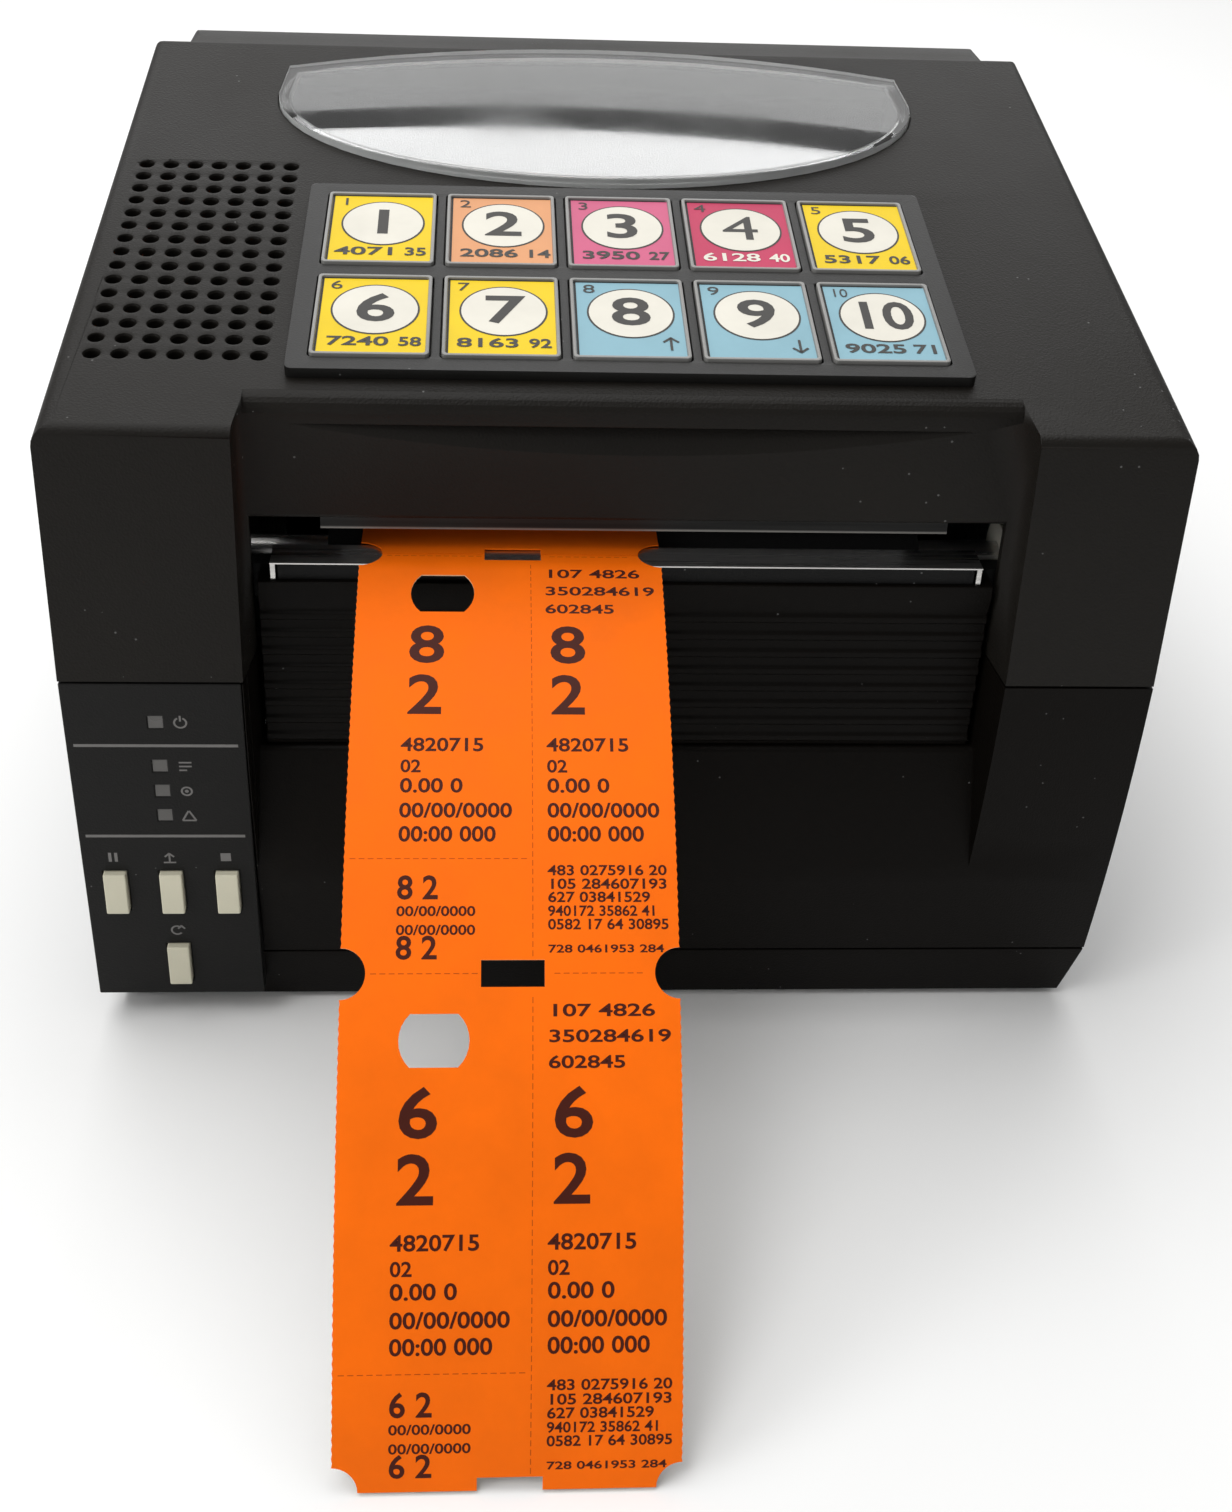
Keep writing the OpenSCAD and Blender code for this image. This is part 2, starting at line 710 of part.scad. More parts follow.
module lower_case()
    color([0.13, 0.13, 0.14]) placed() {
        difference() {
            union() {
                case_shell();
                rear_wall();
            }
            // The rear wall is open for the bay, its ports and the hinges
            box([bay_x[0], bay_y, bay_z[0]], [bay_x[1], far, bay_z[1]]);
            for (x = [-hinge_x, hinge_x])
                box([x - leaf_half - move_gap, hinge_y - 2 * knuckle_r, hinge_z - swing_r],
                    [x + leaf_half + move_gap, rear_y + 1, far]);
            rod_x(-far, far, hinge_y, hinge_z, hinge_pin_d + 2 * fixed_fit);
            intersection() {
                union() {
                    port_hole(inlet_x, inlet_w, inlet_h);
                    port_hole(switch_x, switch_w, switch_tall);
                    port_hole(usb_x, usb_w, usb_h);
                    port_hole(serial_x, serial_w, serial_h);
                }
                box([-far, bay_y - 20, 0], [far, rear_y, far]);
            }
        }
        recess_walls();
        apron();
        panel_seat();
        rear_ledges();
        case_leaves();
        for (s = [-1, 1], y = boss_y)
            difference() {
                union() {
                    rod_z(case_foot, boss_top, s * boss_x, y, boss_d);
                    box([s > 0 ? boss_x : -half_w + 1, y - 1.5, case_foot],
                        [s > 0 ? half_w - 1 : -boss_x, y + 1.5, boss_top]);
                }
                rod_z(case_foot - 1, boss_top - 2, s * boss_x, y, screw_d + 2 * fixed_fit);
            }
    }

// Base

module base_tray()
    color([0.1, 0.1, 0.11]) placed() {
        side = [[ahead, foot_h], [rear_y - base_draft, foot_h], [rear_y, base_top], [ahead, base_top]];
        front = [[base_draft - half_w, foot_h], [half_w - base_draft, foot_h],
                 [half_w, base_top], [-half_w, base_top]];
        difference() {
            union() {
                difference() {
                    intersection() {
                        along_x(-half_w, half_w) polygon(side);
                        along_y(ahead, rear_y) polygon(front);
                        bow();
                    }
                    intersection() {
                        box([base_draft + wall - half_w, ahead, floor_z],
                            [half_w - base_draft - wall, rear_y - base_draft - wall, far]);
                        bow(wall);
                    }
                }
                for (s = [-1, 1], y = boss_y)
                    rod_z(floor_z - 1, base_top, s * boss_x, y, boss_d);
                for (x = [board_x[0] + 6, board_x[1] - 6], y = [board_y[0] + 6, board_y[1] - 6])
                    rod_z(floor_z - 1, main_board_z, x, y, 6);
            }
            for (s = [-1, 1], y = boss_y) {
                rod_z(0, far, s * boss_x, y, screw_d + 2 * fixed_fit);
                rod_z(0, foot_h + screw_head_t + 0.3, s * boss_x, y, screw_head_d + 0.2);
            }
            // Way through for the lower button's stem
            box([panel_cx - 3.5, ahead, panel_foot + 1], [panel_cx + 3.5, panel_board_y + 5, base_top + 1]);
        }
    }

module case_screws()
    color("silver") placed()
        for (s = [-1, 1], y = boss_y) {
            rod_z(foot_h + 0.3, foot_h + 0.3 + screw_head_t, s * boss_x, y, screw_head_d);
            rod_z(foot_h + 0.3, boss_top - 3, s * boss_x, y, screw_d);
        }

foot_x = half_w - 27;
foot_y = [34, rear_y - 30];

module rubber_feet()
    color([0.2, 0.2, 0.2]) placed()
        for (s = [-1, 1], y = foot_y)
            translate([s * foot_x, y, 0])
                rotate_extrude()
                    polygon([[0, 0], [foot_d / 2 - 0.5, 0], [foot_d / 2, 0.5], [foot_d / 2, foot_h],
                             [0, foot_h]]);

// Operation panel

panel_cx = panel_mid - half_w;
led_heights = concat([led_z], [for (k = [0:2]) led_z - led_drop - k * led_pitch]);
button_places = [for (k = [-1:1]) [panel_cx + k * button_pitch, button_z], [panel_cx, mode_z]];
button_gap = 0.2;
button_flange = 1;
button_pocket = button_flange + button_travel + 2 * move_gap;
panel_board_y = 9;
panel_boss_z = [28.5, 55];

module operation_panel()
    color([0.12, 0.12, 0.13]) placed()
        difference() {
            union() {
                difference() {
                    along_x(panel_x[0], panel_x[1])
                        polygon([[panel_y(panel_foot), panel_foot], [12, panel_foot], [12, case_top],
                                 [panel_y(case_top), case_top]]);
                    intersection() {
                        behind_panel(skin_gap);
                        bow(-skin_gap);
                    }
                }
                // Bosses carry the board
                for (x = [panel_cx - 11, panel_cx + 12], z = panel_boss_z)
                    rod_y(panel_back(z) - 1, panel_board_y, x, z, 4);
            }
            for (p = button_places) {
                box([p[0] - button_w / 2 - button_gap, -20, p[1] - button_h / 2 - button_gap],
                    [p[0] + button_w / 2 + button_gap, 20, p[1] + button_h / 2 + button_gap]);
                translate([p[0], panel_back(p[1]) - button_pocket, p[1]])
                    box([-button_w / 2 - 1.2, 0, -button_h / 2 - 1.2],
                        [button_w / 2 + 1.2, 20, button_h / 2 + 1.2]);
            }
            for (z = led_heights)
                box([panel_cx - led_w / 2 - 0.05, -20, z - led_w / 2 - 0.05],
                    [panel_cx + led_w / 2 + 0.05, 20, z + led_w / 2 + 0.05]);
        }

module led_windows()
    color([0.55, 0.55, 0.55]) placed()
        for (z = led_heights)
            box([panel_cx - led_w / 2, panel_y(z) + 0.3, z - led_w / 2],
                [panel_cx + led_w / 2, panel_board_y - 0.1, z + led_w / 2]);

module panel_board()
    color("darkgreen") placed()
        box([-half_w + 6.5, panel_board_y, mode_z - 5],
            [panel_x[1] - 4, panel_board_y + board_t, led_z + 3]);

// A button with a flange behind the panel's face and a stem to the board
module button(k)
    color([0.85, 0.83, 0.76]) placed() {
        p = button_places[k];
        face = panel_y(p[1]) - button_rise;
        ledge = panel_back(p[1]) - button_pocket + move_gap;
        half = [button_w, button_h] / 2;
        rim = half + [0.8, 0.8];
        box([p[0] - half[0], face, p[1] - half[1]], [p[0] + half[0], ledge + 0.5, p[1] + half[1]]);
        box([p[0] - rim[0], ledge, p[1] - rim[1]], [p[0] + rim[0], ledge + button_flange, p[1] + rim[1]]);
        rod_y(ledge + 0.5, panel_board_y - button_travel - move_gap, p[0], p[1], 3);
    }

module pause_button() button(0);
module feed_button() button(1);
module stop_button() button(2);
module mode_button() button(3);

// Front of the print works

shelf_z = 113.7;
shelf_t = 3;
plate_t = 2;
rib_count = 8;
rib_pitch = 4.4;
rib_h = 2.2;
plate_x = [1.2 - recess_left, recess_right - 1.2];
plate_foot = apron_top + 0.1;
plate_y = apron_set + 1.3;
bar_z = platen_top - 0.1;
bar_x = [4 - recess_left, recess_right - 4];
guide_back = platen_y - platen_d / 2 - 0.6;
frame_front = lip_set + 3.8;
frame_left = -recess_left - 8;
frame_right = recess_right + 6;
frame_in = [frame_left + frame_t, frame_right];

module front_plate()
    color([0.1, 0.1, 0.1]) placed()
        along_x(plate_x[0], plate_x[1])
            polygon(concat([[plate_y + plate_t, plate_foot], [plate_y + plate_t, shelf_z - shelf_t],
                            [frame_front - 0.4, shelf_z - shelf_t], [frame_front - 0.4, shelf_z],
                            [plate_y - 1.2, shelf_z], [plate_y - 1.2, shelf_z - shelf_t - 0.6]],
                           [for (k = [rib_count - 1:-1:0])
                               let (z = plate_foot + 1 + k * rib_pitch)
                               each [[plate_y, z + rib_h], [plate_y - 0.6, z + rib_h - 0.4],
                                     [plate_y - 0.6, z + 0.4], [plate_y, z]]],
                           [[plate_y, plate_foot]]));

module exit_guide()
    color([0.08, 0.08, 0.08]) placed() {
        along_x(bar_x[0] + 1.5, bar_x[1] - 1.5)
            polygon([[plate_y, shelf_z + skin_gap], [guide_back, shelf_z + skin_gap],
                     [guide_back, bar_z - 2], [guide_back - 1.5, bar_z - 0.8], [plate_y, bar_z - 0.8]]);
        along_x(frame_in[0] + skin_gap, frame_in[1] - skin_gap)
            polygon([[frame_front, shelf_z - 7], [guide_back, shelf_z - 7], [guide_back, shelf_z + 1],
                     [frame_front, shelf_z + 1]]);
    }

module tear_bar()
    color("silver") placed() {
        along_x(bar_x[0], bar_x[1])
            polygon([[fall_y - 0.6, bar_z - 0.3], [fall_y + 1, bar_z - 0.7], [guide_back - 2, bar_z - 0.7],
                     [guide_back - 2, bar_z], [fall_y - 0.6, bar_z]]);
        for (x = [bar_x[0], bar_x[1] - 1])
            box([x, fall_y, shelf_z + skin_gap], [x + 1, frame_front - 0.3, bar_z - 0.3]);
    }

// Side frames, platen and drive

platen_z = platen_top - platen_d / 2;
idler_from_platen = -60;
pinion_from_idler = -45;
pair_1 = gear_m * (platen_teeth + idler_teeth) / 2;
pair_2 = gear_m * (idler_teeth + pinion_teeth) / 2;
idler_at = [platen_y, platen_z] + pair_1 * dir(idler_from_platen);
motor_at = idler_at + pair_2 * dir(pinion_from_idler);
gear_x = frame_right + frame_t + 2;
bush_d = 14;
idler_axle_d = 6;
motor_boss_d = 22;
motor_end = 6;
platen_x = [print_x - platen_l / 2, print_x + platen_l / 2];
chute_y = platen_y + 18;
roll_r = roll_d / 2;
chute_end = roll_y - roll_r - 33;
// The web leaves the print works level, then runs straight down to the underside of the roll
web_from = [chute_y, web_z];
web_to = [roll_y, roll_z] - web_from;
web_r = roll_r + 0.3 + ticket_t;
web_slope = asin(web_r / norm(web_to)) - atan2(web_to[1], web_to[0]);
web_run = sqrt(norm(web_to) * norm(web_to) - web_r * web_r);
web_end = web_from + web_run * [cos(web_slope), -sin(web_slope)];
frame_foot = [platen_y + 9, chute_end - 18];
function web_height(y) = web_z - max(0, y - chute_y) * tan(web_slope);
function chute_z(y) = web_height(y) - 1.2;

module frame_outline()
    polygon(rounded([[frame_front + 6, floor_z], [chute_end, floor_z], [chute_end, chute_z(chute_end) + 6],
                     [chute_y, chute_z(chute_y) + 4], [frame_front, chute_z(chute_y) + 4],
                     [frame_front, shelf_z - 9], [frame_front + 6, shelf_z - 15]], [0, 2, 6, 6, 2, 2, 4]));

module left_frame()
    color("lightgray") placed() {
        difference() {
            along_x(frame_left, frame_left + frame_t) frame_outline();
            rod_x(-far, far, platen_y, platen_z, bush_d + 2 * fixed_fit);
            rod_x(-far, far, (frame_front + chute_end) / 2, 50, 34);
        }
        box([frame_left, frame_foot[0], floor_z], [frame_left + 12, frame_foot[1], floor_z + frame_t]);
    }

module right_frame()
    color("lightgray") placed() {
        difference() {
            along_x(frame_right, frame_right + frame_t) frame_outline();
            rod_x(-far, far, platen_y, platen_z, bush_d + 2 * fixed_fit);
            rod_x(-far, far, idler_at[0], idler_at[1], idler_axle_d + 2 * fixed_fit);
            rod_x(-far, far, motor_at[0], motor_at[1], motor_boss_d + 2 * fixed_fit);
        }
        box([frame_right - 10, frame_foot[0], floor_z],
            [frame_right + frame_t, frame_foot[1], floor_z + frame_t]);
    }

module platen_bushes()
    color("ivory") placed()
        for (x = [frame_left, frame_right])
            difference() {
                union() {
                    rod_x(x - 2, x + frame_t, platen_y, platen_z, bush_d);
                    rod_x(x - 2, x - 0.05, platen_y, platen_z, bush_d + 3);
                }
                rod_x(-far, far, platen_y, platen_z, platen_shaft_d + 2 * turn_fit);
            }

module platen_shaft()
    color("silver") placed()
        rod_x(frame_left - 6, gear_x + gear_w + 2, platen_y, platen_z, platen_shaft_d);

module platen_roller()
    color([0.15, 0.15, 0.15]) placed()
        difference() {
            rod_x(platen_x[0], platen_x[1], platen_y, platen_z, platen_d);
            rod_x(-far, far, platen_y, platen_z, platen_shaft_d + 2 * fixed_fit);
        }

// An involute tooth flank: the point at radius r, as an angle from the tooth's middle
function roll_angle(r, base) = let (a = acos(min(1, base / r))) tan(a) * 180 / PI - a;
function flank(r, n) =
    let (pitch = gear_m * n / 2, base = pitch * cos(20))
    90 / n - backlash / pitch * 45 / PI + roll_angle(pitch, base) - roll_angle(max(r, base), base);
module gear_outline(n) {
    pitch = gear_m * n / 2;
    root = pitch - 1.25 * gear_m;
    tip = pitch + 0.9 * gear_m;
    rise = [root, max(root, pitch * cos(20)), pitch - 0.3 * gear_m, pitch + 0.3 * gear_m, tip];
    polygon([for (k = [0:n - 1])
        each concat([for (r = rise) r * dir(k * 360 / n - flank(r, n))],
                    [for (i = [4:-1:0]) rise[i] * dir(k * 360 / n + flank(rise[i], n))])]);
}

// A gear across the width, turned so that tooth and gap meet its neighbour
module gear_at(c, n, turn, bore)
    along_x(gear_x, gear_x + gear_w)
        translate(c) difference() {
            rotate(turn) gear_outline(n);
            circle(d = bore);
        }

idler_turn = idler_from_platen + 180 + 180 / idler_teeth;
pinion_turn = pinion_from_idler + 180 + 180 / pinion_teeth
              - (idler_turn - pinion_from_idler) * idler_teeth / pinion_teeth;

module platen_gear()
    color("ivory") placed()
        gear_at([platen_y, platen_z], platen_teeth, idler_from_platen, platen_shaft_d + 2 * fixed_fit);

module idler_gear()
    color("ivory") placed() gear_at(idler_at, idler_teeth, idler_turn, idler_axle_d + 2 * turn_fit);

module motor_pinion()
    color("goldenrod") placed() gear_at(motor_at, pinion_teeth, pinion_turn, motor_shaft_d + 2 * fixed_fit);

module idler_axle()
    color("silver") placed() {
        rod_x(frame_right, gear_x + gear_w + 1.5, idler_at[0], idler_at[1], idler_axle_d);
        rod_x(frame_right + frame_t + 0.1, gear_x - move_gap, idler_at[0], idler_at[1], idler_axle_d + 3);
        rod_x(gear_x + gear_w + move_gap, gear_x + gear_w + 1.5, idler_at[0], idler_at[1],
              idler_axle_d + 3);
    }

module drive_motor()
    color([0.25, 0.25, 0.27]) placed()
        difference() {
            union() {
                along_x(frame_right - 0.1 - motor_l, frame_right - 0.1)
                    polygon(plate(motor_at, motor_w, motor_w, 5));
                rod_x(frame_right - 1, frame_right + frame_t, motor_at[0], motor_at[1], motor_boss_d);
            }
            rod_x(frame_right - motor_l + motor_end, far, motor_at[0], motor_at[1],
                  motor_shaft_d + 2 * turn_fit);
        }

module motor_shaft()
    color("silver") placed()
        rod_x(frame_right - motor_l + motor_end + move_gap, gear_x + gear_w + 1, motor_at[0], motor_at[1],
              motor_shaft_d);

// Ticket path

ticket_x0 = ticket_x - ticket_w / 2;
ticket_x1 = ticket_x + ticket_w / 2;
flat_run = 3;
fall_turn = acos((tip_z - fall_at[1]) / fall_r) - bend_turn;
bend_end = flat_run + bend_r * bend_turn * PI / 180;
ticket_len = (bend_end + fall_r * fall_turn * PI / 180) / 2;
notch_r = 4.7;
hole_w = 13;
hole_h = 9.5;
hole_from_end = 12;
hole_x = ticket_x - 14;
// Gaps on the perforation, which the paper sensor sees
gap_w = 11.8;
gap_h = 4.9;
gap_x = ticket_x + 0.4;
break_y = fall_y + flat_run;

// The arc's frame, turned to the place a length s down the strip
module fall_frame(s)
    translate([0, fall_at[0], fall_at[1]])
        rotate([bend_turn + (s - bend_end) / fall_r * 180 / PI, 0, 0]) children();

module down_strip(s) fall_frame(s) translate([0, 0, fall_r]) children();

// Side notches and sensor gap of one perforation
module perforation() {
    for (x = [ticket_x0, ticket_x1])
        translate([x, 0, -2]) cylinder(r = notch_r, h = 4);
    box([gap_x - gap_w / 2, -gap_h / 2, -2], [gap_x + gap_w / 2, gap_h / 2, 2]);
}

// The perforation at which strip and web part
module end_perforation() translate([0, break_y, web_z]) perforation();

// The card bent to radius r round an axis at depth y and height z
module bent_card(r, y, z)
    difference() {
        rod_x(ticket_x0, ticket_x1, y, z, 2 * (r + ticket_t), $fn = 256);
        rod_x(-far, far, y, z, 2 * r, $fn = 256);
    }

module ticket_strip()
    color("darkorange") placed()
        difference() {
            union() {
                intersection() {
                    bent_card(fall_r, fall_at[0], fall_at[1]);
                    fall_frame(bend_end) box([-far, -far, 0], [far, 0, far]);
                    box([-far, -far, tip_z], [far, far, far]);
                }
                intersection() {
                    bent_card(bend_r, fall_y, bend_z);
                    fall_frame(bend_end) box([-far, 0, 0], [far, far, far]);
                    box([-far, -far, bend_z], [far, fall_y, far]);
                }
                box([ticket_x0, fall_y, web_z], [ticket_x1, break_y, web_z + ticket_t]);
            }
            end_perforation();
            for (s = [ticket_len, 2 * ticket_len])
                down_strip(s) perforation();
            for (k = [0, 1])
                down_strip(k * ticket_len + hole_from_end)
                    intersection() {
                        translate([hole_x, 0, -5]) cylinder(d = hole_w, h = 10);
                        box([hole_x - hole_w, -hole_h / 2, -9], [hole_x + hole_w, hole_h / 2, 9]);
                    }
        }

module ticket_web()
    color("darkorange") placed()
        difference() {
            along_x(ticket_x0, ticket_x1)
                polygon([[break_y + 0.2, web_z], web_from, web_end,
                         web_end + [sin(web_slope), cos(web_slope)] * ticket_t,
                         web_from + [ticket_t * tan(web_slope / 2), ticket_t],
                         [break_y + 0.2, web_z + ticket_t]]);
            end_perforation();
        }

module web_chute()
    color([0.2, 0.2, 0.21]) placed() {
        y0 = platen_y + platen_d / 2 + 2;
        t = 2.5;
        along_x(frame_in[0] + skin_gap, frame_in[1] - skin_gap)
            polygon([[y0, chute_z(y0) - t], [chute_y - 1, chute_z(chute_y) - t],
                     [chute_end, chute_z(chute_end) - t / cos(web_slope)],
                     [chute_end, chute_z(chute_end)], [chute_y, chute_z(chute_y)], [y0, chute_z(y0)]]);
    }

trough_r = roll_r + 5;
trough_t = 2.5;
trough_top = roll_z - 12;
cheek = trough_r + 6;
cradle_x = [frame_left + 12, frame_right + 1];
cradle_t = 3;
journal_d = 10;
spindle_d = core_d - 2 * turn_fit;
disc_d = 70;
disc_t = 3;
guide_l = 16;

module roll_cradle()
    color([0.18, 0.18, 0.19]) placed() {
        intersection() {
            difference() {
                rod_x(cradle_x[0], cradle_x[1] + cradle_t, roll_y, roll_z, 2 * (trough_r + trough_t),
                      $fn = 128);
                rod_x(-far, far, roll_y, roll_z, 2 * trough_r, $fn = 128);
                // The front edge stays below the web
                along_x(-far, far)
                    polygon([[0, web_height(0) - 3], [chute_y, web_z - 3], [web_end[0], web_end[1] - 3],
                             [web_end[0], far], [0, far]]);
            }
            box([-far, 0, 0], [far, far, trough_top]);
        }
        for (x = cradle_x)
            difference() {
                along_x(x, x + cradle_t)
                    polygon(rounded([[roll_y - cheek, floor_z], [roll_y + cheek, floor_z],
                                     [roll_y + cheek, trough_top], [roll_y + 16, roll_z + 8],
                                     [roll_y - 16, roll_z + 8], [roll_y - cheek, trough_top]],
                                    [0, 0, 6, 4, 4, 6]));
                rod_x(-far, far, roll_y, roll_z, journal_d + 2 * fixed_fit);
                box([-far, roll_y - journal_d / 2 - fixed_fit, roll_z],
                    [far, roll_y + journal_d / 2 + fixed_fit, far]);
                for (s = [-1, 1])
                    rod_x(-far, far, roll_y + s * 34, floor_z + 14, 16);
            }
    }

module media_spindle()
    color([0.3, 0.3, 0.31]) placed() {
        rod_x(cradle_x[0] - 2, cradle_x[1] + cradle_t + 2, roll_y, roll_z, journal_d);
        rod_x(cradle_x[0] + cradle_t + 1, cradle_x[1] - 1, roll_y, roll_z, spindle_d);
        rod_x(ticket_x0 - 0.5 - disc_t, ticket_x0 - 0.5, roll_y, roll_z, disc_d);
    }

module roll_core()
    color("tan") placed()
        difference() {
            rod_x(ticket_x0, ticket_x1, roll_y, roll_z, core_d + 2 * core_t - 0.04);
            rod_x(-far, far, roll_y, roll_z, core_d);
        }

module ticket_roll()
    color("seashell") placed()
        difference() {
            rod_x(ticket_x0, ticket_x1, roll_y, roll_z, roll_d);
            rod_x(-far, far, roll_y, roll_z, core_d + 2 * core_t);
        }

module media_guide()
    color([0.3, 0.5, 0.3]) placed()
        difference() {
            union() {
                rod_x(ticket_x1 + 0.5, ticket_x1 + 0.5 + disc_t, roll_y, roll_z, disc_d);
                rod_x(ticket_x1 + 0.5, ticket_x1 + 0.5 + guide_l, roll_y, roll_z, core_d + 8);
            }
            rod_x(-far, far, roll_y, roll_z, core_d);
        }

// Electrics

supply_w = 40;
supply_l = 108;
supply_x = [cradle_x[1] - 3 - supply_w, cradle_x[1] - 3];
supply_top = roll_z - trough_r - trough_t - 3.5;
fin_pitch = 10;
fin_w = 4;
board_x = [cradle_x[0] + 6, supply_x[0] - 6];
board_y = [roll_y - 50, roll_y + 62];
main_board_z = floor_z + 5;
// Heat sink, processor, memory and driver: place from the board's front left corner,
// then length, depth and height
chips = [[18, 26, 18, 30, 12], [52, 40, 14, 14, 2.5], [76, 38, 10, 18, 2], [76, 66, 12, 8, 3]];
cap_d = 9;
cap_h = 14;
cap_pitch = 14;
// First capacitor, from the board's rear left corner
cap_at = [36, -16];

module main_board()
    color("darkgreen") placed() {
        box([board_x[0], board_y[0], main_board_z], [board_x[1], board_y[1], main_board_z + board_t]);
        for (c = chips)
            translate([board_x[0] + c[0], board_y[0] + c[1], main_board_z + board_t - 0.2])
                box([-c[2] / 2, -c[3] / 2, 0], [c[2] / 2, c[3] / 2, c[4] + 0.2]);
        // Capacitors
        for (k = [0:3])
            rod_z(main_board_z + 1, main_board_z + board_t + cap_h, board_x[0] + cap_at[0] + k * cap_pitch,
                  board_y[1] + cap_at[1], cap_d);
    }

module power_supply()
    color("silver") placed()
        difference() {
            box([supply_x[0], roll_y - supply_l / 2, floor_z],
                [supply_x[1], roll_y + supply_l / 2, supply_top]);
            for (k = [0:8])
                translate([0, roll_y - supply_l / 2 + (k + 1) * fin_pitch, supply_top])
                    box([supply_x[0] + 4, 0, -2], [supply_x[1] - 4, fin_w, 1]);
        }

module power_inlet()
    color([0.08, 0.08, 0.08]) placed() {
        mouth = [24, 16.5] / 2;
        difference() {
            union() {
                box([inlet_x - inlet_w / 2, bay_y - 20, port_z - inlet_h / 2],
                    [inlet_x + inlet_w / 2, bay_y + 0.1, port_z + inlet_h / 2]);
                along_y(bay_y + 0.05, bay_y + 2)
                    polygon(plate([inlet_x, port_z], inlet_w + 4, inlet_h + 4, 2));
            }
            // The mouth of a three-pin inlet, with its two upper corners cut off
            along_y(bay_y - 15, bay_y + 3)
                translate([inlet_x, port_z])
                    polygon(rounded([-mouth, [mouth[0], -mouth[1]], [mouth[0], 3], [7, mouth[1]],
                                     [-7, mouth[1]], [-mouth[0], 3]], [1, 1, 1, 1, 1, 1]));
        }
        for (p = [[-7, -2], [0, 3], [7, -2]])
            translate([inlet_x + p[0], 0, port_z + p[1]])
                box([-1, bay_y - 16, -2], [1, bay_y - 5, 2]);
    }

rocker_d = 17;
rocker_tilt = 9;
rocker_y = bay_y - 4;
rocker_pin_d = 2;

module switch_bezel()
    color([0.06, 0.06, 0.06]) placed()
        difference() {
            union() {
                box([switch_x - switch_w / 2, bay_y - 16, port_z - switch_tall / 2],
                    [switch_x + switch_w / 2, bay_y + 0.1, port_z + switch_tall / 2]);
                along_y(bay_y + 0.05, bay_y + 1.5)
                    polygon(plate([switch_x, port_z], switch_w + 3, switch_tall + 3, 1.5));
            }
            box([switch_x - 5, bay_y - 12, port_z - rocker_d / 2 - 0.6],
                [switch_x + 5, bay_y + 3, port_z + rocker_d / 2 + 0.6]);
            rod_x(switch_x - switch_w, switch_x + switch_w, rocker_y, port_z, rocker_pin_d + 2 * turn_fit);
        }

// The rocker rests with its upper half pressed in
module power_rocker()
    color([0.05, 0.05, 0.05]) placed()
        translate([0, rocker_y, port_z]) rotate([rocker_tilt, 0, 0]) {
            along_x(switch_x - 4.7, switch_x + 4.7)
                polygon([[-4, -4], [1.5, -rocker_d / 2 + 0.5], [5.5, -rocker_d / 2 + 0.5], [4.6, 0],
                         [5.5, rocker_d / 2 - 0.5], [1.5, rocker_d / 2 - 0.5], [-4, 4]]);
            rod_x(switch_x - switch_w / 2 + 0.1, switch_x + switch_w / 2 - 0.1, 0, 0, rocker_pin_d);
        }

module usb_port()
    color("silver") placed() {
        difference() {
            box([usb_x - usb_w / 2, bay_y - 14, port_z - usb_h / 2],
                [usb_x + usb_w / 2, bay_y + 0.8, port_z + usb_h / 2]);
            along_y(bay_y - 10, bay_y + 2)
                translate([usb_x, port_z])
                    polygon([[-4.3, -4], [4.3, -4], [4.3, 2.2], [2.5, 4], [-2.5, 4], [-4.3, 2.2]]);
        }
        box([usb_x - 2.8, bay_y - 11, port_z - 1.6], [usb_x + 2.8, bay_y - 1, port_z + 1.6]);
    }

module serial_port()
    color("lightgray") placed() {
        shell = [[serial_x - 7.5, port_z - 4], [serial_x + 7.5, port_z - 4], [serial_x + 8.3, port_z + 4],
                 [serial_x - 8.3, port_z + 4]];
        difference() {
            union() {
                box([serial_x - serial_w / 2, bay_y - 10, port_z - serial_h / 2],
                    [serial_x + serial_w / 2, bay_y + 0.1, port_z + serial_h / 2]);
                along_y(bay_y + 0.05, bay_y + 0.9) polygon(plate([serial_x, port_z], 31, 12.5, 1));
                along_y(bay_y + 0.05, bay_y + 4.5) polygon(rounded(shell, [1.5, 1.5, 1.5, 1.5]));
            }
            along_y(bay_y - 1, bay_y + 5) polygon(rounded(inset(shell, 0.6), [1, 1, 1, 1]));
        }
        for (k = [0:4])
            rod_y(bay_y - 2, bay_y + 3.5, serial_x + (k - 2) * 2.76, port_z + 1.4, 1);
        for (k = [0:3])
            rod_y(bay_y - 2, bay_y + 3.5, serial_x + (k - 1.5) * 2.76, port_z - 1.4, 1);
    }

base_tray();
rubber_feet();
case_screws();
lower_case();
operation_panel();
led_windows();
panel_board();
front_plate();
exit_guide();
tear_bar();
left_frame();
right_frame();
platen_bushes();
drive_motor();
idler_axle();
web_chute();
roll_cradle();
media_spindle();
main_board();
power_supply();
power_inlet();
switch_bezel();
usb_port();
serial_port();
hinge_pins();
ticket_strip();
ticket_web();
top_cover();
window();
keypad_plate();
keypad_board();
head_bracket();
print_head();
head_spring();
head_guard();
key(1);  // key_1
key(2);  // key_2
key(3);  // key_3
key(4);  // key_4
key(5);  // key_5
key(6);  // key_6
key(7);  // key_7
key(8);  // key_8
key(9);  // key_9
key(10);  // key_10
pause_button();
feed_button();
stop_button();
mode_button();
platen_roller();
platen_shaft();
platen_gear();
idler_gear();
motor_pinion();
motor_shaft();
ticket_roll();
roll_core();
media_guide();
power_rocker();
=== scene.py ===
import bmesh
import bpy
import json
import math
from mathutils import Matrix, Vector


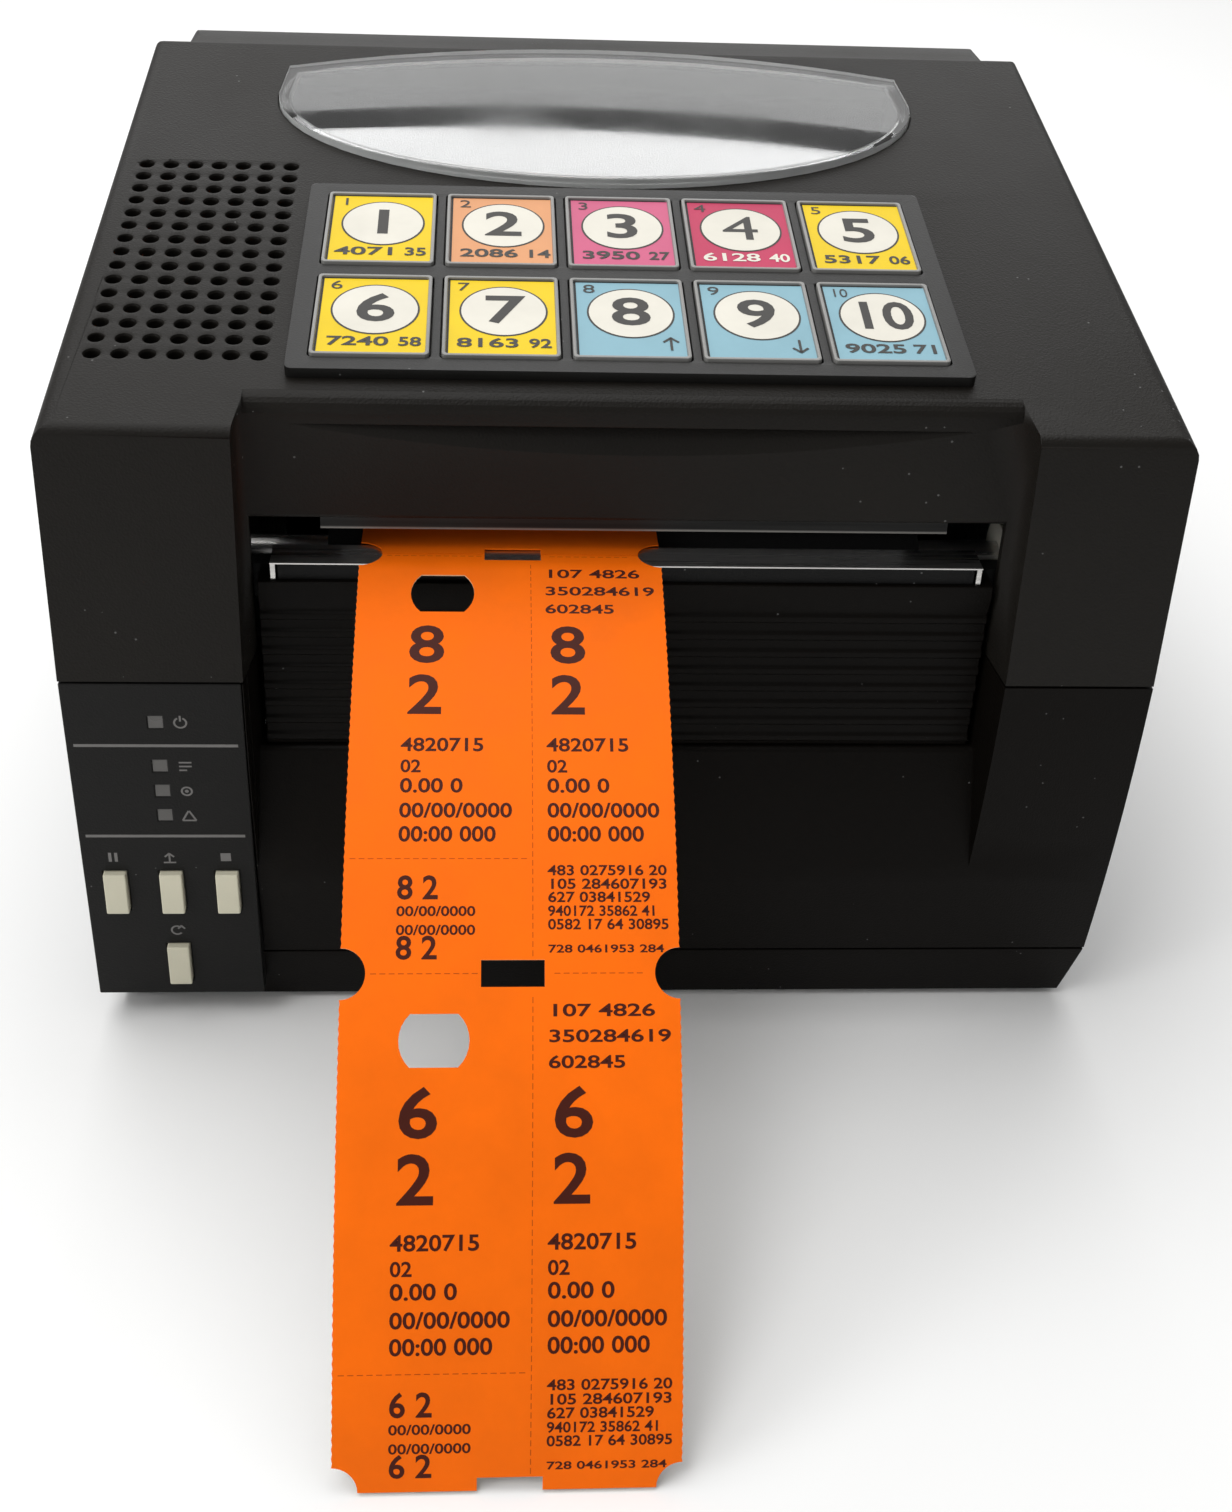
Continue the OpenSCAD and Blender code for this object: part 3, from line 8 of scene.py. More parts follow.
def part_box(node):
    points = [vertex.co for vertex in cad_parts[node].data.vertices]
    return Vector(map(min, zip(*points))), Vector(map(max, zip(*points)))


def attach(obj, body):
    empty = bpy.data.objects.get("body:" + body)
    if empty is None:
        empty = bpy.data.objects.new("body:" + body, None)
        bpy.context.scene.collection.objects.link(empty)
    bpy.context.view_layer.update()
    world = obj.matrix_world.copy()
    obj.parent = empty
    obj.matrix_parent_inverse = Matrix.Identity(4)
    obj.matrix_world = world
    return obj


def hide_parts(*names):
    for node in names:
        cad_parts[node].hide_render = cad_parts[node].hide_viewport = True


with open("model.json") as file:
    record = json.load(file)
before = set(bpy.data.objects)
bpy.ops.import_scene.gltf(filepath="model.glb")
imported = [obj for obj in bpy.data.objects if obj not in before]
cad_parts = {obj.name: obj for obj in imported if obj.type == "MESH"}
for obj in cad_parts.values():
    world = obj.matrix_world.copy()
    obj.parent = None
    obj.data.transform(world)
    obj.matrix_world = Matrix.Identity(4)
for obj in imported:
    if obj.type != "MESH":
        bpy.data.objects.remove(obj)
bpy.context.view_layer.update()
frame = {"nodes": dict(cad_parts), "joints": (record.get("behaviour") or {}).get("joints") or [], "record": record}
nodes = frame["nodes"]
mm = 0.001
print("frame loaded:", len(nodes), "nodes")


# Small tools

def jointAxis(name):
    return Vector(next(j["axis"] for j in frame["joints"] if j["name"] == name))


keyPress = jointAxis("key_1_press")  # square to the sloping top
slope = Matrix.Rotation(math.atan2(keyPress.y, -keyPress.z), 4, "X")
allKeys = ["key_%d" % n for n in range(1, 11)]
allButtons = ["pause_button", "feed_button", "stop_button", "mode_button"]


def slopeBox(node):
    flat = [slope.inverted() @ v.co for v in nodes[node].data.vertices]
    low = Vector([min(p[i] for p in flat) for i in range(3)])
    high = Vector([max(p[i] for p in flat) for i in range(3)])
    return low, high


def newPiece(name, bm, materials, body, stands=()):
    mesh = bpy.data.meshes.new(name)
    bm.to_mesh(mesh)
    bm.free()
    return meshPiece(name, mesh, materials, body, stands)


def meshPiece(name, mesh, materials, body, stands=()):
    for m in materials:
        mesh.materials.append(m)
    piece = bpy.data.objects.new(name, mesh)
    bpy.context.scene.collection.objects.link(piece)
    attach(piece, body)
    if stands:
        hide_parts(*stands)
    return piece


def smoothShade(piece, angle):
    for p in piece.data.polygons:
        p.use_smooth = True
    piece.data.set_sharp_from_angle(angle=math.radians(angle))
    weighted = piece.modifiers.new("evenShade", "WEIGHTED_NORMAL")
    weighted.keep_sharp = True
    return piece


# Shader tools

def nodeTree(mat):
    mat.use_nodes = True
    tree = mat.node_tree
    tree.nodes.clear()
    return tree


def addNode(tree, kind, **settings):
    n = tree.nodes.new(kind)
    for key, value in settings.items():
        if key in n.inputs:
            n.inputs[key].default_value = value
        else:
            setattr(n, key, value)
    return n


def makeGroup(name, inputs, outputs):
    group = bpy.data.node_groups.new(name, "ShaderNodeTree")
    for label, value in inputs.items():
        kind = "NodeSocketVector" if value is None else "NodeSocketFloat"
        s = group.interface.new_socket(label, in_out="INPUT", socket_type=kind)
        if value is not None:
            s.default_value = value
    for label in outputs:
        group.interface.new_socket(label, in_out="OUTPUT", socket_type="NodeSocketFloat")
    return group, group.nodes.new("NodeGroupInput"), group.nodes.new("NodeGroupOutput")


def maths(tree, operation, a, b):
    n = addNode(tree, "ShaderNodeMath", operation=operation)
    for socket, value in zip(n.inputs, (a, b)):
        if isinstance(value, (int, float)):
            socket.default_value = value
        else:
            tree.links.new(value, socket)
    return n.outputs[0]


def noiseAt(tree, vector, scale, detail=2.0, rough=0.5):
    n = addNode(tree, "ShaderNodeTexNoise", Detail=detail, Roughness=rough)
    tree.links.new(vector, n.inputs["Vector"])
    if isinstance(scale, (int, float)):
        n.inputs["Scale"].default_value = scale
    else:
        tree.links.new(scale, n.inputs["Scale"])
    return n.outputs["Fac"]


def ramp(tree, fac, low, high, toLow=0.0, toHigh=1.0):
    n = addNode(tree, "ShaderNodeMapRange")
    tree.links.new(fac, n.inputs["Value"])
    for label, value in (("From Min", low), ("From Max", high), ("To Min", toLow), ("To Max", toHigh)):
        n.inputs[label].default_value = value
    return n.outputs["Result"]


def mixColour(tree, fac, a, b):
    n = addNode(tree, "ShaderNodeMix", data_type="RGBA")
    tree.links.new(fac, n.inputs["Factor"])
    for label, value in (("A", a), ("B", b)):
        socket = [s for s in n.inputs if s.name == label and s.type == "RGBA"][0]
        if isinstance(value, (tuple, list)):
            socket.default_value = (*value[:3], 1)
        else:
            tree.links.new(value, socket)
    return [s for s in n.outputs if s.type == "RGBA"][0]


def buildGrain():
    group, into, out = makeGroup("mouldGrain", {"Vector": None, "Scale": 2400.0, "Unevenness": 18.0},
                                 ("Height", "Cloud"))
    fine = noiseAt(group, into.outputs["Vector"], into.outputs["Scale"], 3.0, 0.62)
    cell = addNode(group, "ShaderNodeTexVoronoi", feature="SMOOTH_F1")
    group.links.new(into.outputs["Vector"], cell.inputs["Vector"])
    group.links.new(into.outputs["Scale"], cell.inputs["Scale"])
    total = maths(group, "ADD", fine, cell.outputs["Distance"])
    cloud = noiseAt(group, into.outputs["Vector"], into.outputs["Unevenness"], 4.0, 0.6)
    group.links.new(total, out.inputs["Height"])
    group.links.new(cloud, out.inputs["Cloud"])
    return group


def buildDust():
    group, into, out = makeGroup("dustSpecks", {"Vector": None, "Scale": 260.0, "Size": 0.055}, ("Mask",))
    cell = addNode(group, "ShaderNodeTexVoronoi", feature="F1")
    group.links.new(into.outputs["Vector"], cell.inputs["Vector"])
    group.links.new(into.outputs["Scale"], cell.inputs["Scale"])
    speck = maths(group, "LESS_THAN", cell.outputs["Distance"], into.outputs["Size"])
    patch = noiseAt(group, into.outputs["Vector"], 35.0, 2.0)
    some = maths(group, "GREATER_THAN", patch, 0.56)
    group.links.new(maths(group, "MULTIPLY", speck, some), out.inputs["Mask"])
    return group


def buildBrush():
    group, into, out = makeGroup("brushLines", {"Vector": None, "Scale": 900.0}, ("Height",))
    stretch = addNode(group, "ShaderNodeMapping")
    stretch.inputs["Scale"].default_value = (0.02, 1.0, 1.0)
    group.links.new(into.outputs["Vector"], stretch.inputs["Vector"])
    group.links.new(noiseAt(group, stretch.outputs["Vector"], into.outputs["Scale"], 3.0, 0.6),
                    out.inputs["Height"])
    return group


grainGroup, dustGroup, brushGroup = buildGrain(), buildDust(), buildBrush()


def useGroup(tree, group, vector, **values):
    n = addNode(tree, "ShaderNodeGroup", node_tree=group)
    tree.links.new(vector, n.inputs["Vector"])
    for key, value in values.items():
        n.inputs[key].default_value = value
    return n


def startMaterial(name, **sockets):
    mat = bpy.data.materials.new(name)
    tree = nodeTree(mat)
    out = addNode(tree, "ShaderNodeOutputMaterial")
    skin = addNode(tree, "ShaderNodeBsdfPrincipled")
    tree.links.new(skin.outputs[0], out.inputs["Surface"])
    for key, value in sockets.items():
        skin.inputs[key.replace("_", " ")].default_value = value
    place = addNode(tree, "ShaderNodeTexCoord").outputs["Object"]
    return mat, tree, skin, place


def bumpInto(tree, skin, height, strength, distance):
    b = addNode(tree, "ShaderNodeBump", Strength=strength, Distance=distance)
    tree.links.new(height, b.inputs["Height"])
    tree.links.new(b.outputs["Normal"], skin.inputs["Normal"])
    return b


def mouldedPlastic(name, colour, rough, grain=2400.0, depth=0.25, dust=0.05, shine=0.35):
    mat, tree, skin, place = startMaterial(name, Specular_IOR_Level=shine)
    g = useGroup(tree, grainGroup, place, Scale=grain)
    d = useGroup(tree, dustGroup, place, Size=dust)
    faded = tuple(min(1.0, c * 1.35) for c in colour)
    base = mixColour(tree, ramp(tree, g.outputs["Cloud"], 0.3, 0.75), colour, faded)
    specks = mixColour(tree, d.outputs["Mask"], base, tuple(min(1.0, c + 0.1) for c in colour))
    tree.links.new(specks, skin.inputs["Base Color"])
    uneven = ramp(tree, g.outputs["Cloud"], 0.25, 0.8, rough - 0.05, rough + 0.07)
    tree.links.new(uneven, skin.inputs["Roughness"])
    bumpInto(tree, skin, g.outputs["Height"], depth, 0.0002)
    return mat


def metalFinish(name, colour, rough, scale=900.0, depth=0.08):
    mat, tree, skin, place = startMaterial(name, Metallic=1.0)
    b = useGroup(tree, brushGroup, place, Scale=scale)
    dull = tuple(c * 0.78 for c in colour)
    brushed = mixColour(tree, ramp(tree, b.outputs["Height"], 0.3, 0.7), dull, colour)
    uneven = ramp(tree, b.outputs["Height"], 0.3, 0.7, rough + 0.1, rough - 0.06)
    tree.links.new(brushed, skin.inputs["Base Color"])
    tree.links.new(uneven, skin.inputs["Roughness"])
    bumpInto(tree, skin, b.outputs["Height"], depth, 0.0001)
    return mat


def cardStock(name, colour, rough=0.62, fibre=1400.0):
    mat, tree, skin, place = startMaterial(name, Specular_IOR_Level=0.12)
    g = useGroup(tree, grainGroup, place, Scale=fibre, Unevenness=55.0)
    pale = tuple(min(1.0, c * 1.05) for c in colour)
    deep = tuple(c * 0.93 for c in colour)
    mottled = mixColour(tree, ramp(tree, g.outputs["Cloud"], 0.3, 0.7), deep, pale)
    uneven = ramp(tree, g.outputs["Cloud"], 0.3, 0.7, rough - 0.05, rough + 0.06)
    tree.links.new(mottled, skin.inputs["Base Color"])
    tree.links.new(uneven, skin.inputs["Roughness"])
    bumpInto(tree, skin, g.outputs["Height"], 0.06, 0.0001)
    return mat


def clearPane(name):
    mat, tree, skin, place = startMaterial(name, Transmission_Weight=1.0, IOR=1.49, Metallic=0.0)
    skin.inputs["Base Color"].default_value = (0.97, 0.98, 0.98, 1)
    smear = noiseAt(tree, place, 24.0, 3.0)
    tree.links.new(ramp(tree, smear, 0.35, 0.75, 0.01, 0.045), skin.inputs["Roughness"])
    return mat


def paneEdge(name):
    # the sawn and eased edge of the pane scatters light
    mat, tree, skin, place = startMaterial(name, Transmission_Weight=0.35, IOR=1.49, Specular_IOR_Level=0.5)
    cloud = noiseAt(tree, place, 120.0, 2.0)
    tree.links.new(mixColour(tree, cloud, (0.62, 0.63, 0.62), (0.74, 0.75, 0.74)), skin.inputs["Base Color"])
    tree.links.new(ramp(tree, cloud, 0.3, 0.7, 0.3, 0.45), skin.inputs["Roughness"])
    return mat


def circuitBoard(name):
    mat, tree, skin, place = startMaterial(name)
    brick = addNode(tree, "ShaderNodeTexBrick", Scale=160.0)
    brick.inputs["Mortar Size"].default_value = 0.06
    tree.links.new(place, brick.inputs["Vector"])
    lacquer = mixColour(tree, brick.outputs["Fac"], (0.012, 0.075, 0.03), (0.03, 0.16, 0.07))
    tree.links.new(lacquer, skin.inputs["Base Color"])
    tree.links.new(ramp(tree, brick.outputs["Fac"], 0, 1, 0.34, 0.26), skin.inputs["Roughness"])
    bumpInto(tree, skin, brick.outputs["Fac"], 0.15, 0.00005)
    return mat


def woundCard(name, colour, axisYz):
    # layers show as fine rings on the roll's ends
    mat, tree, skin, place = startMaterial(name, Specular_IOR_Level=0.25)
    centre = addNode(tree, "ShaderNodeMapping")
    centre.inputs["Location"].default_value = (0, -axisYz[0], -axisYz[1])
    tree.links.new(place, centre.inputs["Vector"])
    parts = addNode(tree, "ShaderNodeSeparateXYZ")
    tree.links.new(centre.outputs["Vector"], parts.inputs[0])
    square = [maths(tree, "MULTIPLY", parts.outputs[i], parts.outputs[i]) for i in (1, 2)]
    radius = maths(tree, "POWER", maths(tree, "ADD", *square), 0.5)
    ring = maths(tree, "FRACT", maths(tree, "MULTIPLY", radius, 2200.0), 0.0)
    dark = tuple(c * 0.72 for c in colour)
    cloud = noiseAt(tree, place, 90.0, 3.0)
    layered = mixColour(tree, ramp(tree, ring, 0.0, 0.8), dark, colour)
    soft = mixColour(tree, ramp(tree, cloud, 0.35, 0.7, 0.0, 0.35), layered, dark)
    tree.links.new(soft, skin.inputs["Base Color"])
    tree.links.new(ramp(tree, cloud, 0.3, 0.7, 0.6, 0.75), skin.inputs["Roughness"])
    bumpInto(tree, skin, ring, 0.25, 0.0001)
    return mat


def burnishedGuard(name):
    # dark strip: its face is painted dark as shade under the lip, and a band along its lower edge is painted
    # bright as a highlight
    mat, tree, skin, place = startMaterial(name, Metallic=1.0)
    b = useGroup(tree, brushGroup, place, Scale=900.0)
    parts = addNode(tree, "ShaderNodeSeparateXYZ")
    tree.links.new(place, parts.inputs[0])
    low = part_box("head_guard")[0].z
    # painted highlight: a band along the lower edge is lightened
    paintedEdgeHighlight = ramp(tree, parts.outputs["Z"], low + 0.6 * mm, low + 0.25 * mm)
    # painted shade: the face is kept very dark, with brush lines
    dark = mixColour(tree, b.outputs["Height"], (0.012, 0.012, 0.012), (0.03, 0.03, 0.029))
    tree.links.new(mixColour(tree, paintedEdgeHighlight, dark, (0.16, 0.155, 0.145)), skin.inputs["Base Color"])
    tree.links.new(ramp(tree, b.outputs["Height"], 0.3, 0.7, 0.5, 0.38), skin.inputs["Roughness"])
    return mat


rollLow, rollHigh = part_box("ticket_roll")
rollAxis = ((rollLow.y + rollHigh.y) / 2, (rollLow.z + rollHigh.z) / 2)
# plastics: colour, roughness, grain, grain depth, dust and shine; metals: colour, roughness and brush scale
finish = {
    "cover_plastic": mouldedPlastic("coverPlastic", (0.0076, 0.0066, 0.0054), 0.46, 2100.0, 0.32, 0.06, 0.13),
    "case_plastic": mouldedPlastic("casePlastic", (0.0032, 0.0025, 0.0019), 0.42, 2400.0, 0.22, 0.05, 0.07),
    "panel_plastic": mouldedPlastic("panelPlastic", (0.0056, 0.0054, 0.005), 0.43, 2400.0, 0.25, 0.05, 0.14),
    "inner_plastic": mouldedPlastic("innerPlastic", (0.005, 0.005, 0.005), 0.5, 1800.0, 0.3, 0.06, 0.14),
    "window_clear": clearPane("clearPane"),
    "keypad_black": mouldedPlastic("keypadBlack", (0.0075, 0.0072, 0.0066), 0.38, 2600.0, 0.12, 0.06, 0.26),
    "key_grey": mouldedPlastic("keyGrey", (0.2, 0.198, 0.19), 0.34, 2600.0, 0.05, 0.0, 0.35),
    "button_beige": mouldedPlastic("buttonBeige", (0.5, 0.478, 0.37), 0.38, 2600.0, 0.05, 0.0, 0.4),
    "light_grey": mouldedPlastic("lightGrey", (0.075, 0.072, 0.068), 0.25, 2600.0, 0.05, 0.0, 0.4),
    "steel": metalFinish("steel", (0.66, 0.65, 0.63), 0.27),
    "zinc": metalFinish("zinc", (0.56, 0.57, 0.58), 0.42, 240.0),
    "rubber": mouldedPlastic("rubber", (0.012, 0.012, 0.012), 0.82, 1500.0, 0.4, 0.0, 0.2),
    "circuit": circuitBoard("circuit"),
    "gear_white": mouldedPlastic("gearWhite", (0.72, 0.69, 0.6), 0.4, 2000.0, 0.06, 0.0),
    "brass": metalFinish("brass", (0.72, 0.53, 0.24), 0.25),
    "motor_black": mouldedPlastic("motorBlack", (0.02, 0.02, 0.022), 0.34, 1200.0, 0.1, 0.0, 0.5),
    "head_grey": metalFinish("headGrey", (0.45, 0.45, 0.46), 0.4),
    "ticket_card": cardStock("ticketCard", (0.93, 0.15, 0.0006)),
    "roll_card": woundCard("rollCard", (0.8, 0.72, 0.64), rollAxis),
    "core_board": cardStock("coreBoard", (0.42, 0.3, 0.18), 0.75, 500.0),
    "guide_green": mouldedPlastic("guideGreen", (0.08, 0.22, 0.11), 0.42, 2000.0, 0.1, 0.0),
}
for part in frame["record"]["subparts"]:
    cad = nodes[part["node"]]
    cad.data.materials.clear()
    cad.data.materials.append(finish[part["material_slot"]])
nodes["head_guard"].data.materials[0] = burnishedGuard("burnishedGuard")
print("materials:", len(finish))


# Mouldings: the solids with their edges rounded

def softCopy(node, name, body, slot, width, segments=2, angle=33, shade=32):
    # edges sharper than angle are rounded, and those under shade look smooth
    bm = bmesh.new()
    bm.from_mesh(nodes[node].data)
    bmesh.ops.remove_doubles(bm, verts=bm.verts, dist=2e-6)
    limit = math.radians(angle)
    sharp = [e for e in bm.edges if len(e.link_faces) == 2 and e.calc_face_angle() > limit]
    for island in edgeIslands(sharp):
        live = [e for e in island if e.is_valid]
        bmesh.ops.bevel(bm, geom=live, offset=width, offset_type="OFFSET", segments=segments, profile=0.5,
                        affect="EDGES", clamp_overlap=True, loop_slide=False, material=-1)
    bmesh.ops.remove_doubles(bm, verts=bm.verts, dist=4e-6)  # where bevels met
    piece = newPiece(name, bm, [finish[slot]], body, [node])
    return smoothShade(piece, shade)


def edgeIslands(edges):
    left = dict.fromkeys(edges)  # keeps the order, so each run is the same
    found = []
    while left:
        stack = [left.popitem()[0]]
        group = []
        while stack:
            e = stack.pop()
            group.append(e)
            for v in e.verts:
                for other in v.link_edges:
                    if other in left:
                        del left[other]
                        stack.append(other)
        found.append(group)
    return found


mouldings = {
    # name, body, slot, edge width; the cover also rounds the flatter edges of its finger scoop,
    # and the pane's face mirrors evenly up to its rim
    "top_cover": ("coverShell", "cover", "cover_plastic", 0.7 * mm, 2, 25, 24),
    "lower_case": ("caseShell", "case", "case_plastic", 0.5 * mm),
    "base_tray": ("baseShell", "case", "case_plastic", 0.5 * mm),
    "operation_panel": ("panelFace", "case", "panel_plastic", 0.3 * mm),
    "keypad_plate": ("keypadFrame", "cover", "keypad_black", 0.3 * mm),
    "front_plate": ("frontPlate", "case", "case_plastic", 0.25 * mm),
    "window": ("windowPane", "cover", "window_clear", 0.5 * mm, 2, 33, 8),
}
for node, look in mouldings.items():
    softCopy(node, *look)
pane = bpy.data.objects["windowPane"].data
pane.materials.append(paneEdge("paneEdge"))
outward = slope.to_3x3() @ Vector((0, 0, 1))
for p in pane.polygons:
    p.material_index = 1 if abs(p.normal.dot(outward)) < 0.85 else 0
for n, node in enumerate(allKeys, 1):
    softCopy(node, "keyCap%d" % n, node, "key_grey", 0.3 * mm)
for node in allButtons:
    softCopy(node, node.split("_")[0] + "Cap", node, "button_beige", 0.45 * mm, 3)
print("mouldings softened:", len(mouldings) + len(allKeys) + len(allButtons))


# Flat figures: words, bars and rings laid in a plane, then carried to their place

def textMesh(body, size, bold=0.0, align="CENTER"):
    curve = bpy.data.curves.new("figure", "FONT")
    curve.body = body
    curve.size = size
    curve.offset = 0.0 if body == "4" else bold * size  # a bolder 4 would close its eye
    curve.align_x = align
    curve.align_y = "CENTER"
    curve.resolution_u = 4
    holder = bpy.data.objects.new("figure", curve)
    bpy.context.scene.collection.objects.link(holder)
    bpy.context.view_layer.update()
    mesh = bpy.data.meshes.new_from_object(holder.evaluated_get(bpy.context.evaluated_depsgraph_get()))
    bpy.data.objects.remove(holder)
    bpy.data.curves.remove(curve)
    return mesh


def addText(bm, body, x, y, size, height=0.0, bold=0.0, align="CENTER", slot=0, stretch=1.0, width=None):
    mesh = textMesh(body, size, bold, align)
    if width:
        xs = [v.co.x for v in mesh.vertices]
        stretch = width / (max(xs) - min(xs))
    mesh.transform(Matrix.Translation((x, y, height)) @ Matrix.Diagonal((stretch, 1, 1, 1)))
    for p in mesh.polygons:
        p.material_index = slot
    bm.from_mesh(mesh)
    bpy.data.meshes.remove(mesh)


def addBar(bm, x, y, w, h, height=0.0, slot=0, corner=0.0, turn=0.0):
    place = Matrix.Translation((x, y, height)) @ Matrix.Rotation(turn, 4, "Z")
    points = []
    for quarter, (sx, sy) in enumerate(((1, 1), (-1, 1), (-1, -1), (1, -1))):
        middle = Vector((sx * (w / 2 - corner), sy * (h / 2 - corner), 0))
        for k in range(4 if corner > 0 else 1):
            a = math.radians(90 * quarter + 30 * k)
            points.append(middle + corner * Vector((math.cos(a), math.sin(a), 0)))
    bm.faces.new([bm.verts.new(place @ p) for p in points]).material_index = slot


def addDisc(bm, x, y, rx, ry, height=0.0, slot=0, sides=48):
    place = Matrix.Translation((x, y, height)) @ Matrix.Diagonal((rx, ry, 1, 1))
    made = bmesh.ops.create_circle(bm, cap_ends=True, segments=sides, radius=1, matrix=place)
    for f in made["verts"][0].link_faces:
        f.material_index = slot


def addRing(bm, x, y, r, thick, height=0.0, start=0.0, turn=360.0, sides=28):
    first = Matrix.Translation((x, y, height)) @ Matrix.Rotation(math.radians(start), 4, "Z")
    a = bm.verts.new(first @ Vector((r - thick / 2, 0, 0)))
    b = bm.verts.new(first @ Vector((r + thick / 2, 0, 0)))
    edge = bm.edges.new((a, b))
    full = abs(turn - 360) < 0.01
    bmesh.ops.spin(bm, geom=[a, b, edge], cent=(x, y, height), axis=(0, 0, 1), angle=math.radians(turn),
                   steps=sides, use_merge=full)


# Key labels

keyLook = {
    "pocketDrop": 0.6 * mm,  # label below the frame's top
    "flange": 0.6 * mm,  # below the plate the key is wider than its cap
    "frame": 0.8 * mm,
    "lift": 0.1 * mm,
    "rim": 0.42 * mm,  # dark line round the white oval
    # places and sizes below are shares of the cap's width and length
    "oval": (0.365, 0.3),
    "ovalAt": (0.02, 0.07),
    "figure": 0.48,
    "figureBold": 0.018,
    "figureStretch": (1.2, 0.95),  # for one figure and for two
    "cornerStretch": (1.25, 0.85),
    "small": 0.15,  # the corner figure and the caption
    "cornerAt": (-0.39, 0.37),
    "captionAt": -0.33,
    "arrowAt": 0.34,
    "captionBold": 0.02,
    "groups": ((0, 4, -0.11, 0.52), (4, 6, 0.33, 0.19)),  # caption: first and last figure, place, width
    "ink": (0.055, 0.053, 0.05),
    "yellow": (0.72, 0.51, 0.012),
    "peach": (0.63, 0.3, 0.145),
    "pink": (0.54, 0.112, 0.21),
    "crimson": (0.46, 0.045, 0.105),
    "blue": (0.225, 0.395, 0.465),
}
keyColours = ["yellow", "peach", "pink", "crimson", "yellow", "yellow", "yellow", "blue", "blue", "blue"]
keyCaptions = ["407135", "208614", "395027", "612840", "531706", "724058", "816392", "", "", "902571"]


def labelPaper(name, colour):
    return cardStock(name, colour, 0.42, 2200.0)


paperSlot, whiteSlot, inkSlot, shadeSlot = range(4)
labelTints = {tint: labelPaper("label" + tint.title(), keyLook[tint]) for tint in sorted(set(keyColours))}
labelWhite = labelPaper("labelWhite", (0.66, 0.635, 0.56))
labelInk = labelPaper("labelInk", keyLook["ink"])
labelShade = labelPaper("labelShade", (0.02, 0.02, 0.02))


def keyLabel(n, node):
    low, high = slopeBox(node)
    c = (low + high) / 2
    w = high.x - low.x - 2 * keyLook["flange"]
    l = high.y - low.y - 2 * keyLook["flange"]
    inner = (w - 2 * keyLook["frame"], l - 2 * keyLook["frame"])
    floorH = high.z - keyLook["pocketDrop"] + 0.03 * mm
    step = keyLook["lift"]
    bm = bmesh.new()
    addBar(bm, c.x, c.y, inner[0] - 0.1 * mm, inner[1] - 0.1 * mm, floorH, paperSlot)
    # the frame's inner edge throws a thin shadow line at the left and the rear
    shadeH = floorH + 0.3 * step
    addBar(bm, c.x - inner[0] / 2 + 0.3 * mm, c.y, 0.45 * mm, inner[1] - 0.3 * mm, shadeH, shadeSlot)
    addBar(bm, c.x, c.y + inner[1] / 2 - 0.25 * mm, inner[0] - 0.3 * mm, 0.35 * mm, shadeH, shadeSlot)
    ovalX, ovalY = c.x + keyLook["ovalAt"][0] * w, c.y + keyLook["ovalAt"][1] * l
    ovalW, ovalL = keyLook["oval"][0] * w, keyLook["oval"][1] * l
    rim = keyLook["rim"]
    addDisc(bm, ovalX, ovalY, ovalW + rim, ovalL + rim, floorH + 0.5 * step, inkSlot)
    addDisc(bm, ovalX, ovalY, ovalW, ovalL, floorH + step, whiteSlot)
    two = len(str(n)) - 1
    addText(bm, str(n), ovalX, ovalY, keyLook["figure"] * l, floorH + 1.5 * step, keyLook["figureBold"],
            slot=inkSlot, stretch=keyLook["figureStretch"][two])
    small = keyLook["small"] * l
    cornerX, cornerY = c.x + keyLook["cornerAt"][0] * w, c.y + keyLook["cornerAt"][1] * l
    addText(bm, str(n), cornerX, cornerY, small, floorH + step, 0.0, "LEFT", inkSlot,
            keyLook["cornerStretch"][two])
    capY = c.y + keyLook["captionAt"] * l
    if n in (8, 9):
        arrow(bm, c.x + keyLook["arrowAt"] * w, capY + 0.6 * mm, 1 if n == 8 else -1, floorH + step)
    else:
        onDark = keyColours[n - 1] == "crimson"
        for first, last, place, share in keyLook["groups"]:
            addText(bm, keyCaptions[n - 1][first:last], c.x + place * w, capY, small, floorH + step,
                    keyLook["captionBold"], slot=whiteSlot if onDark else inkSlot, width=share * w)
    bmesh.ops.transform(bm, matrix=slope, verts=bm.verts)
    paper = labelTints[keyColours[n - 1]]
    return newPiece("keyLabel%d" % n, bm, [paper, labelWhite, labelInk, labelShade], node)


def arrow(bm, x, y, way, height):
    stroke = 0.55 * mm
    addBar(bm, x, y, stroke, 4.6 * mm, height, inkSlot)
    for side in (-1, 1):
        addBar(bm, x + side * 0.75 * mm, y + way * 1.55 * mm, stroke, 2.4 * mm, height, inkSlot, 0.0,
               side * way * math.radians(45))


for n, node in enumerate(allKeys, 1):
    keyLabel(n, node)
print("key labels done")


# Marks on the operation panel: two lines and plain signs

panelLow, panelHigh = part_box("operation_panel")
panelVerts = [v.co for v in nodes["operation_panel"].data.vertices]
topY = min(p.y for p in panelVerts if p.z > panelHigh.z - 0.5 * mm)
footY = min(p.y for p in panelVerts if p.z < panelLow.z + 0.5 * mm)
panelLean = math.atan2(footY - topY, panelHigh.z - panelLow.z)
# signs are drawn in width and height, then stood up on the leaning face
panelPlace = Matrix.Translation((0, footY, panelLow.z)) @ Matrix.Rotation(math.pi / 2 + panelLean, 4, "X")
panelMarks = {
    "print": (0.17, 0.165, 0.16),
    "lift": 0.04 * mm,
    "lines": (79.4 * mm, 54.8 * mm),
    "lineH": 0.75 * mm,
    "lineShort": 3.2 * mm,  # shorter than the panel is wide
    "signH": 3.0 * mm,
    "stroke": 0.42 * mm,
    "besideLight": 5.2 * mm,
    "overButton": 3.4 * mm,
}
markInk = cardStock("markInk", panelMarks["print"], 0.5, 2200.0)


def panelY(z):
    return (z - panelLow.z) / math.cos(panelLean)


def nodeCentre(node):
    low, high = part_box(node)
    return (low + high) / 2


